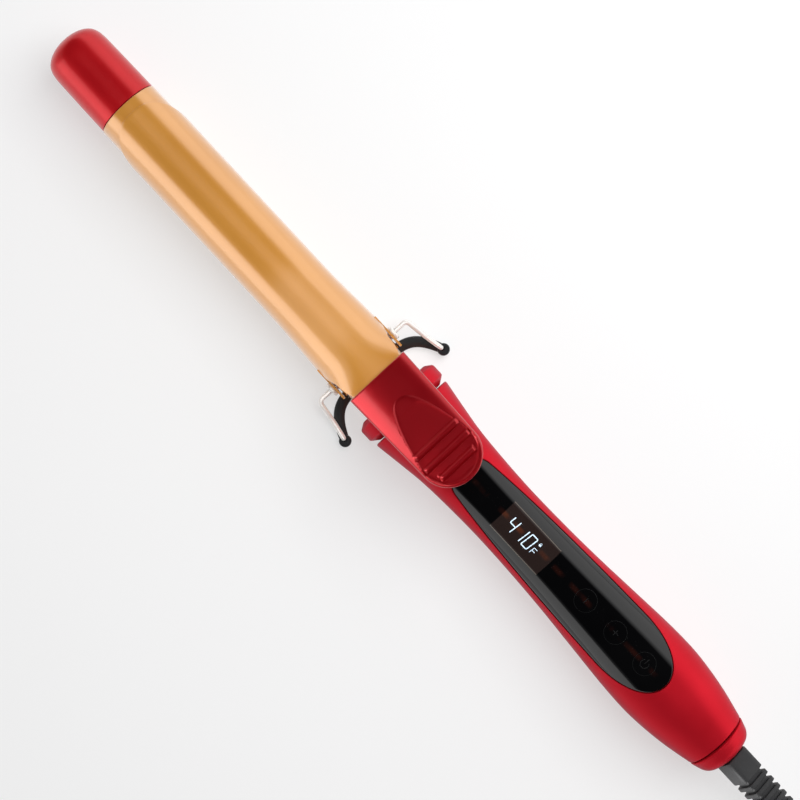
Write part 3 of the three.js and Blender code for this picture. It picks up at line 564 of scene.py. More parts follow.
def cord_line():
    """The cord's centreline: down to the table, round the coil layer by layer, to the plug."""
    cx, cy = COIL_CENTRE
    points = [
        (RELIEF_END_X - GAP, 0, 0), (-232, 0, -0.1), (-239, -0.3, -1.6), (-247, -1.4, -5.6),
        (-255, -3.8, -10.1), (-263, -7.6, -13.1), (-271, -12.6, -14.1),
        (-279, -18.4, -14.2), (-286.5, -24.2, -14.1),
    ]
    x, y, z = points[-1]
    here = {"angle": math.degrees(math.atan2(y - cy, x - cx)),
            "radius": math.hypot(x - cx, y - cy), "z": z}

    def go(degrees, radius, height):
        steps = max(4, round(degrees / STEP))
        for i in range(1, steps + 1):
            t = smooth(0, 1, i / steps)
            a = math.radians(here["angle"] - degrees * i / steps)
            r = mix(here["radius"], radius, t)
            points.append((cx + r * math.cos(a), cy + r * math.sin(a),
                           mix(here["z"], height, t)))
        here.update(angle=here["angle"] - degrees, radius=radius, z=height)

    def radius_of(column):
        return COIL_MEAN_R + (column - (COIL_COLUMNS - 1) / 2) * TURN_PITCH

    def height_of(layer):
        if layer == COIL_LAYERS:
            return LYING_Z
        return TABLE_Z + COIL_LIFT + CORD_R + TURN_SLACK + TURN_PITCH * layer

    column = COIL_COLUMNS - 1
    go(JOIN, radius_of(column), height_of(0))
    go(HOLD, radius_of(column), height_of(0))
    for layer in range(COIL_LAYERS):
        for n in range(COIL_COLUMNS - 1):
            column += 1 if layer % 2 else -1
            go(SHIFT, radius_of(column), height_of(layer))
            climbs = n == COIL_COLUMNS - 2
            go(HOLD, radius_of(column), height_of(layer + climbs))
    go(SHIFT, TAIL_R, LYING_Z)
    go((here["angle"] - 90 - TAIL_TURN) % 360, TAIL_R, LYING_Z)
    start = math.radians(here["angle"])
    bx = cx + (TAIL_R - TAIL_BEND) * math.cos(start)
    by = cy + (TAIL_R - TAIL_BEND) * math.sin(start)
    steps = 10
    for i in range(1, steps + 1):
        a = start - math.radians(TAIL_TURN) * i / steps
        points.append((bx + TAIL_BEND * math.cos(a), by + TAIL_BEND * math.sin(a),
                       mix(LYING_Z, PLUG_Z, smooth(0, 1, i / steps))))
    return catmull(points, 5)


CORD_LINE = cord_line()


def make_cord():
    data = bpy.data.curves.new("mains_cord", "CURVE")
    data.dimensions = "3D"
    spline = data.splines.new("POLY")
    spline.points.add(len(CORD_LINE) - 1)
    for point, target in zip(CORD_LINE, spline.points):
        target.co = (*place(point), 1)
    spline.use_smooth = True
    data.bevel_depth = CORD_R * MM
    data.bevel_resolution = 5
    data.use_fill_caps = True
    piece = add("mains_cord", data)
    return dress(piece, "cord_rubber", "root", "cord_lead", "cord_coil", "cord_tail")


def superellipse(half_y, half_z, power, count=48):
    """Points of a rounded outline round the x axis."""
    out = []
    for j in range(count):
        a = 2 * math.pi * j / count
        c, s = math.cos(a), math.sin(a)
        out.append((half_y * math.copysign(abs(c) ** (2 / power), c),
                    half_z * math.copysign(abs(s) ** (2 / power), s)))
    return out


def make_plug():
    end_x, y, z = CORD_LINE[-1]
    start = end_x + 2 * GAP
    neck_end = start + PLUG["relief"]
    front = neck_end + PLUG["length"]
    rings = []

    def ring(x, width, height, power):
        rings.append([(x, y + a, z + b) for a, b in superellipse(width / 2, height / 2, power)])

    # The neck's ribs, then the body swells to a flat front with a soft rim.
    ring(start, 6.0, 6.0, 2)
    ring(start + 0.4, 6.6, 6.6, 2)
    ribs = 4
    pitch = (PLUG["relief"] - 1.4) / ribs
    for i in range(ribs):
        x = start + 0.6 + i * pitch
        size = 6.6 + 1.6 * i / ribs
        for at, width in ((0.1, size), (0.55 * pitch, size), (0.62 * pitch, size - 1.1),
                          (0.94 * pitch, size - 1.1)):
            ring(x + at, width, width * 0.96, 2.2)
    for i in range(15):
        t = i / 14
        swell = smooth(0, 1, t)
        ring(neck_end + 11 * t, mix(9, PLUG["width"], swell), mix(8, PLUG["height"], swell),
             mix(2.2, 4, swell))
    for back, less in ((1.2, 0), (0.5, 0.3), (0.12, 0.9), (0, 1.6)):
        ring(front - back, PLUG["width"] - less, PLUG["height"] - less, 4)
    body = loft("plug_moulding", rings)
    pieces = [dress(body, "plug_plastic", "root", "plug_body")]
    for name, side in SIDES:
        middle = y + side * PLUG["spacing"] / 2
        blade = blade_of(f"plug_pin_{name}", front, middle, z)
        pieces.append(dress(blade, "plug_brass", "root", f"plug_blade_{name}"))
    return pieces


def blade_of(name, front, middle, z):
    """A flat contact blade with a rounded tip and a hole near its end."""
    half, length, corner = 3.17, PLUG["blade"], 1.6
    straight = front + length - corner
    outline = [(front - 3.6, -half), (straight, -half)]
    outline += [(straight + corner * math.sin(a), -half + corner - corner * math.cos(a))
                for a in (math.radians(d) for d in (22, 45, 68, 90))]
    outline += [(x, -h) for x, h in reversed(outline)]
    rings = [[(x, middle + t, z + h * s) for x, h in outline]
             for t, s in ((0.75, 0.94), (0.6, 1), (-0.6, 1), (-0.75, 0.94))]
    hole = rod("hole", -2, 2, BLADE_HOLE_R, 32, "y", (front + length - 4.5, middle, z))
    return cut(loft(name, rings), hole)


def make_tie():
    """A band round the coil's bundle, its corners rounded."""
    half = COIL_COLUMNS * TURN_PITCH / 2 + GAP + TIE_T
    low, high = TABLE_Z, TOP_Z + GAP + TIE_T
    cos, sin = math.cos(TIE_ANGLE), math.sin(TIE_ANGLE)
    cx, cy = COIL_CENTRE
    radius = 1.6
    corners = [(half, high), (-half, high), (-half, low), (half, low)]
    loop = []
    for i, (r, z) in enumerate(corners):
        inward = (-math.copysign(1, r), -math.copysign(1, z - (low + high) / 2))
        for j in range(7):
            a = math.radians(90 * i + 15 * j)
            loop.append((r + inward[0] * radius + radius * math.cos(a),
                         z + inward[1] * radius + radius * math.sin(a),
                         math.cos(a), math.sin(a)))
    sections = []
    for r, z, nr, nz in loop:
        section = []
        for across, depth in ((-2.5, 0.12), (-2.3, 0), (2.3, 0), (2.5, 0.12),
                              (2.5, TIE_T - 0.1), (-2.5, TIE_T - 0.1)):
            rr, zz = COIL_MEAN_R + r - nr * depth, z - nz * depth
            section.append((cx + rr * cos - across * sin, cy + rr * sin + across * cos, zz))
        sections.append(section)
    points = [p for section in sections for p in section]
    tie = make_mesh("coil_tie_band", points, ring_faces(len(sections), 6, True))
    return dress(tie, "tie_plastic", "root", "coil_tie")


def make_lead():
    cord = make_cord()
    pieces = make_plug() + [make_tie()]
    tuple(place(CORD_LINE[0]))


make_lead()


# ---------------------------------------------------------------- floor and lights
WALL_LIGHT = 1.3  # on the -y side
FAR_LIGHT = 0.45  # on the +y side
OPENING_LIGHT = 0.02
WALL_TURN = math.radians(12)  # of the walls, about the vertical, from the iron's axis
OPENING = {"lean": 0.08, "from": 0.52, "to": 0.68}
# Each light: its offset from the iron, its length along the iron, its width and its power.
FLOOR_KEY = ("floor_key", (0.0, -0.27, 0.5), 0.5, 0.5, 3.9)
FILL = ("fill", (0.0, -0.1, 0.9), 0.9, 0.5, 7.0)
# Softboxes near the iron. Each lights only the pieces named with it, as a flag would see to.
GOLD_PIECES = ["gold_barrel", "clamp_jaw", "hinge_strap", "tip_cap"]
SOFTBOXES = (
    (("side_box", (0.08, 0.45, 0.13), 0.6, 0.38, 1.0), GOLD_PIECES),
    (("jaw_box", (0.038, 0.0, 0.085), 0.026, 0.2, 0.009), ["clamp_jaw"]),
    (("lever_box", (0.12, 0.3, 0.22), 0.22, 0.46, 0.9), ["thumb_lever"]),
    (("panel_box", (-0.09, 0.5, 0.14), 0.9, 0.3, 0.75), ["gloss_panel"]),
    (("boot_box", (-0.2, 0.25, 0.08), 0.1, 0.2, 0.7), ["cord_boot"]),
    (("wire_box", (0.02, 0.0, 0.3), 0.6, 0.5, 0.9),
     ["stand_leg_left", "stand_leg_right", "hinge_washer_left", "hinge_washer_right"]),
)
FLOOR_TONE = (0.34, 0.34, 0.342, 1)
FLOOR_GLOW = 0.6
FLOOR_HALF = 6.0
FLOOR_DROP = 0.00005  # under the pieces, so that they don't share its plane


def make_floor():
    corners = ((-1, -1), (1, -1), (1, 1), (-1, 1))
    mesh = bpy.data.meshes.new("floor")
    mesh.from_pydata([(x * FLOOR_HALF, y * FLOOR_HALF, -FLOOR_DROP) for x, y in corners],
                     [], [(0, 1, 2, 3)])
    floor = add("floor", mesh)
    nodes = Material("floor")
    nodes.set(Roughness=0.9, Specular_IOR_Level=0.1, Base_Color=FLOOR_TONE,
              Emission_Color=(1, 1, 1, 1), Emission_Strength=FLOOR_GLOW)
    mesh.materials.append(nodes.material)
    return floor


def make_world():
    """Two bright walls along a dark tunnel, turned from the iron's axis, and a dark ceiling."""
    world = bpy.data.worlds.new("studio")
    bpy.context.scene.world = world
    world.use_nodes = True
    nodes = Tree(world.node_tree)
    where = nodes.new("ShaderNodeTexCoord").outputs["Generated"]
    x, y, up = nodes.new("ShaderNodeSeparateXYZ", {"Vector": where}).outputs
    across = nodes.math("ADD", nodes.math("MULTIPLY", y, math.cos(WALL_TURN)),
                        nodes.math("MULTIPLY", x, math.sin(WALL_TURN)))
    reach = nodes.math("SQRT", nodes.math("ADD", nodes.math("MULTIPLY", across, across),
                                          nodes.math("MULTIPLY", up, up)))
    height = nodes.math("ADD", nodes.math("DIVIDE", up, reach),
                        nodes.math("MULTIPLY", across, OPENING["lean"]))
    wall = nodes.ramp(across, -0.2, 0.2, WALL_LIGHT, FAR_LIGHT)
    light = nodes.blend(nodes.ramp(height, OPENING["from"], OPENING["to"]), wall,
                        (OPENING_LIGHT,) * 3 + (1,))
    nodes.feed(nodes.tree.nodes["Background"].inputs["Color"], light)


def light_only(light, pieces, state="INCLUDE"):
    """Lets the light reach these pieces alone, or all but these."""
    reached = bpy.data.collections.new(light.name + "_pieces")
    for piece in pieces:
        reached.objects.link(piece)
    for member in reached.collection_objects:
        member.light_linking.link_state = state
    light.light_linking.receiver_collection = reached


def make_studio():
    floor = make_floor()
    make_world()
    # A soft key on the -y side throws the shadow towards +y. It lights the floor alone.
    light_only(area_light(*FLOOR_KEY), [floor])
    # The fill leaves the floor alone, and doesn't show in reflections.
    fill = area_light(*FILL)
    light_only(fill, [floor], "EXCLUDE")
    fill.visible_glossy = False


def light_with_softboxes():
    for values, names in SOFTBOXES:
        softbox = area_light(*values, aim_x=values[1][0] / 2)
        softbox.visible_camera = False
        light_only(softbox, [bpy.data.objects[name] for name in names])


def area_light(name, offset, length, width, power, aim_x=-0.02):
    """A light at an offset in metres from the point on the iron at which it aims."""
    data = bpy.data.lights.new(name, "AREA")
    data.shape = "RECTANGLE"
    data.size, data.size_y = length, width
    data.energy = power
    light = add(name, data)
    aim = ORIGIN + Vector((aim_x, 0, -0.01))
    spot = aim + Vector(offset)
    back = (spot - aim).normalized()
    side = Vector((1, 0, 0))
    side = (side - back * side.dot(back)).normalized()
    basis = Matrix((side, back.cross(side), back)).transposed()
    light.matrix_world = Matrix.Translation(spot) @ basis.to_4x4()
    return light


make_studio()


# ---------------------------------------------------------------- handle
def spaced(start, end, step):
    count = max(1, round(abs(end - start) / step))
    return [mix(start, end, i / count) for i in range(count)] + [end]


def rounding(distance, radius):
    """How far a rounded edge falls at a distance in from it."""
    inside = min(max(radius - distance, 0), radius)
    return radius - math.sqrt(radius**2 - inside**2)


def handle_ring(x, half, start, turn, count, top=HANDLE_TOP):
    """Points across the handle's section, from one parting line over to the other."""
    points = []
    for j in range(count + 1):
        angle = start + turn * j / count
        z = half * math.sin(angle)
        points.append((x, half * math.cos(angle), z * top if z > 0 else z))
    return points


SEAT_GAP = 0.35  # round the barrel, in the handle's nose


def handle_skin(name, start, turn):
    front, back = HANDLE_FRONT_X, CAP_SEAM_X + GAP / 2
    edge = [0, 0.08, 0.25, 0.5, 0.8]
    stations = [front - d for d in edge] + spaced(front - 2, back + 2, 1.3)
    stations += [back + d for d in reversed(edge)]
    columns = 72
    outer, inner = [], []
    seat = BARREL_R + SEAT_GAP
    for x in stations:
        soft = rounding(front - x, 0.8) + rounding(x - back, 0.5)
        outer.append(handle_ring(x, handle_half(x) - soft, start, turn, columns))
        share = smooth(SADDLE_BACK_X + 2, SADDLE_BACK_X - 1, x)
        hollow = mix(seat, handle_half(x) - WALL, share)
        inner.append(handle_ring(x, hollow, start, turn, columns, mix(1, HANDLE_TOP, share)))
    return sheet(name, outer, inner)


def bezier(a, b, c, d, steps):
    return [tuple((1 - t)**3 * a[k] + 3 * t * (1 - t)**2 * b[k] + 3 * t * t * (1 - t) * c[k]
                  + t**3 * d[k] for k in range(2))
            for t in (i / steps for i in range(steps + 1))]


def panel_edge(inset):
    """The control panel's outline on its +y side, from its front to its end."""
    front, end = PANEL_FRONT_X - inset, PANEL_END_X + inset
    half, nose, waist = PANEL_HALF - inset, 8.8 - inset, 11.7 - inset
    return [
        *bezier((front, 0.03), (front, nose * 0.5), (front - 2.5, nose * 0.9),
                (front - 7, nose), 14)[:-1],
        *bezier((front - 7, nose), (-56, waist - 0.8), (-85, half - 0.6),
                (PANEL_WIDEST_X, half), 48)[:-1],
        *bezier((PANEL_WIDEST_X, half), (end + 9, half), (end, half * 0.6), (end, 0.03), 26),
    ]


def distance_to(edge, x, y):
    """Distance from a point to the outline and its mirror image."""
    a = np.array(edge)
    b = a[1:] - a[:-1]
    p = np.array((x, abs(y)))
    t = np.clip(((p - a[:-1]) * b).sum(1) / (b * b).sum(1), 0, 1)
    return float(np.sqrt(((a[:-1] + b * t[:, None] - p)**2).sum(1)).min())


def handle_top(x, y, inset):
    """Height of the handle's surface, inset by a depth."""
    return HANDLE_TOP * math.sqrt(max((handle_half(x) - inset)**2 - y * y, 0))


def clustered(count):
    """Shares from -1 to 1, closer together near both ends."""
    return [math.sin(math.pi / 2 * (2 * j / count - 1)) for j in range(count + 1)]


def over_panel(name, inset, top_inset, bottom_inset, round_off):
    """A skin over the panel's outline that follows the handle's surface."""
    edge = panel_edge(inset)
    outer, inner = [], []
    for x, half in edge:
        ys = [half * share for share in clustered(36)]
        outer.append([(x, y, handle_top(x, y, top_inset)
                       - (rounding(distance_to(edge, x, y), round_off) if round_off else 0))
                      for y in ys])
        inner.append([(x, y, handle_top(x, y, bottom_inset)) for y in ys])
    return sheet(name, outer, inner)


CUTTER_Y = 30.0  # half width, and lowest and highest level, of the boxes that cut
CUTTER_BASE = TABLE_Z - 10
CUTTER_TOP = 25.0


def cut_away(piece, along_x, along_z):
    """Cuts everything between two places along the iron and between two levels."""
    (x0, x1), (z0, z1) = along_x, along_z
    cut(piece, block("cutter", (x0, -CUTTER_Y, z0), (x1, CUTTER_Y, z1)))


SCREWS_X = (-44, -98, -158)
SCREW_R = 1.3
SCREW_HEAD_R = 2.5
HEAD_DEPTH = 3.4
BOSS_R = 4.4
LEAF_RIVET_X = -25.4


def make_handle():
    upper = handle_skin("handle_top_shell", 0, math.pi)
    cut_away(upper, (SADDLE_BACK_X, 0), (SADDLE_Z, CUTTER_TOP))
    cut(upper, over_panel("recess", 0, -3, PANEL_T + GAP, 0))
    cut(upper, rod("rivet_hole", 10, 20, 1.2, 32, "z", (LEAF_RIVET_X, 0, 0)))
    dress(upper, "red_plastic", "root", "handle_upper_shell")

    lower = handle_skin("handle_bottom_shell", math.pi + math.radians(1.1),
                        math.pi - math.radians(2.2))
    for x in SCREWS_X:
        under = -handle_half(x)
        join(lower, rod("boss", under + 1, under + 5.4, BOSS_R, 40, "z", (x, 0, 0)))
        sink = turned("sink", [(under - 3, 0), (under - 3, SCREW_HEAD_R + 0.5),
                               (under + 0.1, SCREW_HEAD_R + 0.5),
                               (under + 0.5, SCREW_HEAD_R + GAP),
                               (under + HEAD_DEPTH, SCREW_HEAD_R + GAP),
                               (under + HEAD_DEPTH, SCREW_R + GAP),
                               (under + 8, SCREW_R + GAP), (under + 8, 0)], 40, "z", (x, 0, 0))
        cut(lower, sink)
    cut_away(lower, (-190, 10), (CUTTER_BASE, TABLE_Z))
    dress(lower, "red_plastic", "root", "handle_lower_shell")

    for i, x in enumerate(SCREWS_X):
        top = -handle_half(x) + HEAD_DEPTH - GAP
        profile = rounded([(top - 1.6, 0), (top - 1.6, SCREW_HEAD_R), (top, SCREW_HEAD_R),
                           (top, SCREW_R), (2.5, SCREW_R), (2.5, 0)], 0.35)
        screw = turned(f"cross_screw_{i + 1}", profile, 48, "z", (x, 0, 0))
        for size in ((1.5, 0.33), (0.33, 1.5)):
            slot = block("slot", (x - size[0], -size[1], top - 3),
                         (x + size[0], size[1], top - 0.9))
            cut(screw, slot)
        dress(screw, "screw_steel", "root", f"shell_screw_{i + 1}")


def make_collar():
    back, bore = HANDLE_FRONT_X + GAP, BARREL_R + GAP
    profile = rounded([
        (back, bore), (back, 15), (-4.2, 17.6), (-3.6, COLLAR_R), (0.8, COLLAR_R), (1.5, 18),
        (3.2, 15.4), (3.2, bore),
    ], 0.5)
    ring = turned("nose_collar", profile, 144)
    cut_away(ring, (-10, 10), (SADDLE_Z, CUTTER_TOP))
    cut_away(ring, (-10, 10), (CUTTER_BASE, TABLE_Z))
    dress(ring, "red_plastic", "root", "front_collar")


SEAM_OPENING = 0.55  # how much wider the rear cap's seam is on top


def make_rear_cap():
    front = CAP_SEAM_X - GAP / 2
    ball, opening = 7.6, 8.2
    socket = [(CAP_SEAM_X + 0.9 - ball * math.cos(a), ball * math.sin(a))
              for a in (math.radians(d) for d in range(45, 80, 8))]
    profile = [
        (front, opening), (front, 12.2), (front - 0.12, 12.45), (front - 0.5, 12.55),
        *catmull([(front - 0.5, 12.55), (CAP_END_X + 5, 11.8), (CAP_END_X + 3, 11),
                  (CAP_END_X + 1.4, 9.6), (CAP_END_X + 0.35, 7.2), (CAP_END_X, 5.4)], 5)[1:],
        (CAP_END_X + 0.2, 4.95), (CAP_END_X + 3, 4.9), *socket,
    ]
    cap = turned("end_cap", [tuple(p) for p in profile], 144)
    # The seam is widest on top and closes towards the sides.
    for vertex in cap.data.vertices:
        height = (vertex.co.z - AXIS_Z) / MM / 12.5
        near = smooth(front - 2.5, front - 0.5, (vertex.co.x - ORIGIN.x) / MM)
        vertex.co.x -= SEAM_OPENING * MM * near * max(height, 0) ** 1.5
    dress(cap, "red_plastic", "root", "rear_cap")


# ---------------------------------------------------------------- control panel
WINDOW = (-81.0, -56.1, 0.5, 6.3)  # the display: its two ends, its middle and half width
TOUCH_X = (-100.0, -115.8, -131.2)  # the minus, plus and power marks


def add_panel_gloss():
    """Black gloss over a smoked display window, with a faint warm streak along the middle."""
    nodes = Material("panel_gloss")
    x, y, _ = nodes.new("ShaderNodeSeparateXYZ", {"Vector": nodes.where}).outputs
    low, high, middle_y, half_y = WINDOW
    half_x = (high - low) / 2 * MM
    soft = 0.0001
    in_x = nodes.ramp(nodes.away(x, place(((low + high) / 2, 0, 0)).x), half_x + soft,
                      half_x - soft)
    aside = nodes.away(y, middle_y * MM)
    in_y = nodes.ramp(aside, half_y * MM + soft, half_y * MM - soft)
    dashes = nodes.math("MULTIPLY", nodes.ramp(nodes.noise(120.0, 3, (1, 0.3, 1)), 0.48, 0.6),
                        nodes.spread(nodes.noise(60.0, 2, (0.35, 1, 1)), 0.2, 0.9))
    streak = nodes.math("MULTIPLY", nodes.ramp(nodes.away(y, 0), 0.0013, 0.0004), dashes)
    black = nodes.blend(nodes.spread(nodes.noise(50.0), 0, 1), srgb(3, 3, 4), srgb(6, 6, 7))
    warm = nodes.blend(streak, black, srgb(46, 17, 11))
    smoked = nodes.blend(streak, srgb(42, 32, 30), srgb(96, 48, 28))
    shown = nodes.blend(nodes.math("MULTIPLY", in_x, in_y), warm, smoked)
    rim = nodes.math("MULTIPLY", in_x,
                     nodes.ramp(nodes.away(aside, half_y * MM), 0.00022, 0.00008))
    nodes.set(Coat_Weight=1.0, Coat_Roughness=0.05, Specular_IOR_Level=0.05,
              Base_Color=nodes.blend(rim, shown, srgb(100, 92, 84)),
              Roughness=nodes.spread(nodes.noise(140.0, 5), 0.1, 0.16),
              Normal=nodes.bump(nodes.noise(60.0, 2), 0.00001))
    MATERIALS["panel_gloss"] = nodes.material


add_panel_gloss()


def strips(name, lines, lift):
    """Thin marks on the panel. Each line is a list of point pairs, and closes on itself
    where its last pair is its first."""
    points, faces = [], []
    for line in lines:
        closed = line[0] == line[-1]
        pairs = line[:-1] if closed else line
        start = len(points)
        for pair in pairs:
            for x, y in pair:
                points.append((x, y, handle_top(x, y, 0.1) + lift))
            for x, y in reversed(pair):
                points.append((x, y, handle_top(x, y, 0.1) - 0.05))
        faces += [tuple(start + k for k in face)
                  for face in ring_faces(len(pairs), 4, closed)]
        if not closed:
            last = start + 4 * (len(pairs) - 1)
            faces.append((start + 3, start + 2, start + 1, start))
            faces.append((last, last + 1, last + 2, last + 3))
    return make_mesh(name, points, faces)


def bar(a, b, half):
    """A bar from a to b with pointed ends, as a display's segment has."""
    ax, ay = a
    bx, by = b
    length = math.hypot(bx - ax, by - ay)
    dx, dy = (bx - ax) / length, (by - ay) / length
    # It is divided along its length, so that it follows the panel's curve.
    middle = [(mix(half, length - half, k / 6), half) for k in range(7)]
    pairs = []
    for along_by, width in ((0, 0.06), *middle, (length, 0.06)):
        x, y = ax + dx * along_by, ay + dy * along_by
        pairs.append(((x - dy * width, y + dx * width), (x + dy * width, y - dx * width)))
    return pairs


def arc(centre, radius, start, end, half, steps=40):
    cx, cy = centre
    pairs = []
    for i in range(steps + 1):
        a = math.radians(mix(start, end, i / steps))
        c, s = math.cos(a), math.sin(a)
        pairs.append(((cx + (radius - half) * c, cy + (radius - half) * s),
                      (cx + (radius + half) * c, cy + (radius + half) * s)))
    if end - start >= 360:
        pairs[-1] = pairs[0]
    return pairs


SEGMENTS = {
    "a": ((0, 2), (1, 2)), "b": ((1, 2), (1, 1)), "c": ((1, 1), (1, 0)), "d": ((0, 0), (1, 0)),
    "e": ((0, 1), (0, 0)), "f": ((0, 2), (0, 1)), "g": ((0, 1), (1, 1)),
}


def glyph(segments, centre_x, width, height, half, middle_y=0.0):
    """Seven-segment strokes. Reading runs towards -x, and the top is towards -y."""
    lines = []
    for name in segments:
        (a, b), (c, d) = SEGMENTS[name]
        shrink = half * 0.15
        start = np.array((a * width, b * height / 2))
        end = np.array((c * width, d * height / 2))
        step = (end - start) / np.linalg.norm(end - start) * shrink
        ends = []
        for p in (start + step, end - step):
            lean = 0.1 * (p[1] - height / 2)
            ends.append((centre_x + width / 2 - p[0] - lean, middle_y + height / 2 - p[1]))
        lines.append(bar(*ends, half))
    return lines


def make_panel():
    panel = over_panel("gloss_panel", GAP, 0.1, PANEL_T, 0.35)
    dress(panel, "panel_gloss", "root", "control_panel")

    digits = [
        *glyph("fgbc", -61.7, 2.8, 5.6, 0.2, 0.6), *glyph("bc", -66.2, 2.8, 5.6, 0.2, 0.5),
        *glyph("abcdef", -70.4, 2.8, 5.6, 0.2, 0.4), *glyph("aefg", -73.9, 1.5, 2.5, 0.13, 1.8),
        # The padlock beside the reading: its body, and its bow above.
        [((-73.5, -1.2), (-73.5, -1.9)), ((-74.5, -1.2), (-74.5, -1.9))],
        arc((-74.0, -2.1), 0.33, 180, 360, 0.07, 12),
    ]
    dress(strips("display_reading", digits, 0.05), "display_digits", "root")

    marks = []
    minus, plus, power = TOUCH_X
    for x in TOUCH_X:
        marks.append(arc((x, 0), 4.3, 0, 360, 0.07))
    marks.append(bar((minus, -1.3), (minus, 1.3), 0.18))
    marks += [bar((plus, -1.3), (plus, 1.3), 0.18), bar((plus + 1.3, 0), (plus - 1.3, 0), 0.18)]
    marks += [arc((power, 0), 1.6, -50, 230, 0.14), bar((power, -0.2), (power, -2.3), 0.16)]
    dress(strips("touch_symbols", marks, 0.03), "touch_marks", "root")


# ---------------------------------------------------------------- barrel and hinge
TIP_PLUG = 9.0  # how far the cool tip goes into the barrel
STRAP_R = (13.7, 13.0)  # outside and inside radius of the strap under the barrel
STRAP_START = 12.9  # degrees under the barrel's widest line


def make_barrel():
    inner = BARREL_R - BARREL_WALL
    end = TIP_SEAM_X - GAP
    tube_profile = rounded([(BARREL_BACK_X, inner), (BARREL_BACK_X, BARREL_R), (end, BARREL_R),
                            (end, inner)], 0.25)
    dress(turned("gold_barrel", tube_profile, 192), "gold_coating", "root", "barrel")
    plug = inner - GAP
    nose = catmull([
        (TIP_SEAM_X + 0.9, TIP_R), (TIP_SEAM_X + 8, TIP_R - 0.05), (TIP_X - 14, TIP_R - 0.2),
        (TIP_X - 8, TIP_R - 0.4), (TIP_X - 4.6, 11.2), (TIP_X - 2.4, 9.3), (TIP_X - 0.9, 6.4),
        (TIP_X - 0.2, 3.2), (TIP_X, 0.01),
    ], 6)[:-1]
    profile = [
        (TIP_SEAM_X - TIP_PLUG, 0), (TIP_SEAM_X - TIP_PLUG, plug), (TIP_SEAM_X, plug),
        (TIP_SEAM_X, TIP_R - 0.5), (TIP_SEAM_X + 0.15, TIP_R - 0.15),
        (TIP_SEAM_X + 0.45, TIP_R - 0.02), *[tuple(p) for p in nose], (TIP_X, 0),
    ]
    tip = dress(turned("tip_cap", profile, 144), "tip_plastic", "root", "cool_tip")


def make_hinge():
    start = math.radians(180 + STRAP_START)
    sweep = math.radians(180 - 2 * STRAP_START)
    rows = [14.8, 15.0, 15.5, 20.4, 25.3, 25.8, 26.0]

    def skin(radius):
        grid = []
        for x in rows:
            edge = 0.15 if x in (rows[0], rows[-1]) else 0
            r = radius - edge if radius == STRAP_R[0] else radius + edge * 0.5
            grid.append([(x, r * math.cos(start + sweep * j / 90),
                          r * math.sin(start + sweep * j / 90)) for j in range(91)])
        return grid

    dress(sheet("hinge_strap", *map(skin, STRAP_R)), "gold_coating", "root", "hinge_bracket")

    for name, side in SIDES:
        profile = [(12.6, WIRE_BORE_R), (12.6, RIVET_R), (15.1, RIVET_R), (15.1, 2.55),
                   (15.25, 2.74), (15.45, 2.8), (16.0, 2.8), (16.3, 2.68), (16.5, 2.4),
                   (16.58, 2.0), (16.6, 1.6), (16.45, 1.35), (16.2, WIRE_BORE_R)]
        profile = [(side * at, radius) for at, radius in profile]
        rivet = turned(f"hinge_washer_{name}", profile, 64, "y", (HINGE_X, 0, HINGE_Z))
        dress(rivet, "chrome", "root", f"hinge_rivet_{name}")


# ---------------------------------------------------------------- clamp plate and lever
def lever_top(x):
    return LEVER_FRONT_Z + LEVER_SLOPE * (LEVER_FRONT_X - x)


def plate_section(x):
    """The plate's top, half width, depth and wrap at x."""
    pipe = BARREL_R + GAP + PLATE_T
    under_lever = LEVER_FRONT_Z - LEVER_T - GAP
    raised = smooth(PLATE_RISE_X, 24, x)
    trim = smooth(27, 19, x)
    tongue = smooth(19, 4, x)
    rising = mix(pipe, under_lever, smooth(PLATE_RISE_X, LEVER_FRONT_X - 6, x))
    ramp = under_lever + 0.02 * (LEVER_FRONT_X - x)
    top = lever_top(x) - LEVER_T - GAP if x < LEVER_FRONT_X else min(rising, ramp)
    return {
        "top": top,
        "half": mix(pipe, EAR_Y + PLATE_T, raised),
        "drop": mix(mix(pipe, 14.8, raised), 5.6, smooth(28, 12, x)),
        "wrap": mix(mix(math.radians(84), 1.08, trim), 0.62, tongue),
    }


def make_ear(side):
    """One ear, folded down from the plate's edge, with a running hole for its rivet."""
    corner = 4.4
    outline = [(14.4, 4.5), (14.6, HINGE_Z + 0.6)]
    outline += [(HINGE_X - corner * math.cos(a), HINGE_Z - corner * math.sin(a))
                for a in (math.radians(d) for d in range(12, 180, 12))]
    outline += [(HINGE_X + corner, HINGE_Z), (27.5, 0), (29, 4.5)]
    rings = [[(x, side * y, z) for x, z in outline] for y in (EAR_Y, EAR_Y + PLATE_T)]
    hole = rod("hole", side * 10, side * 20, RIVET_R + GAP, 40, "y", (HINGE_X, 0, HINGE_Z))
    return cut(loft("ear", rings), hole)


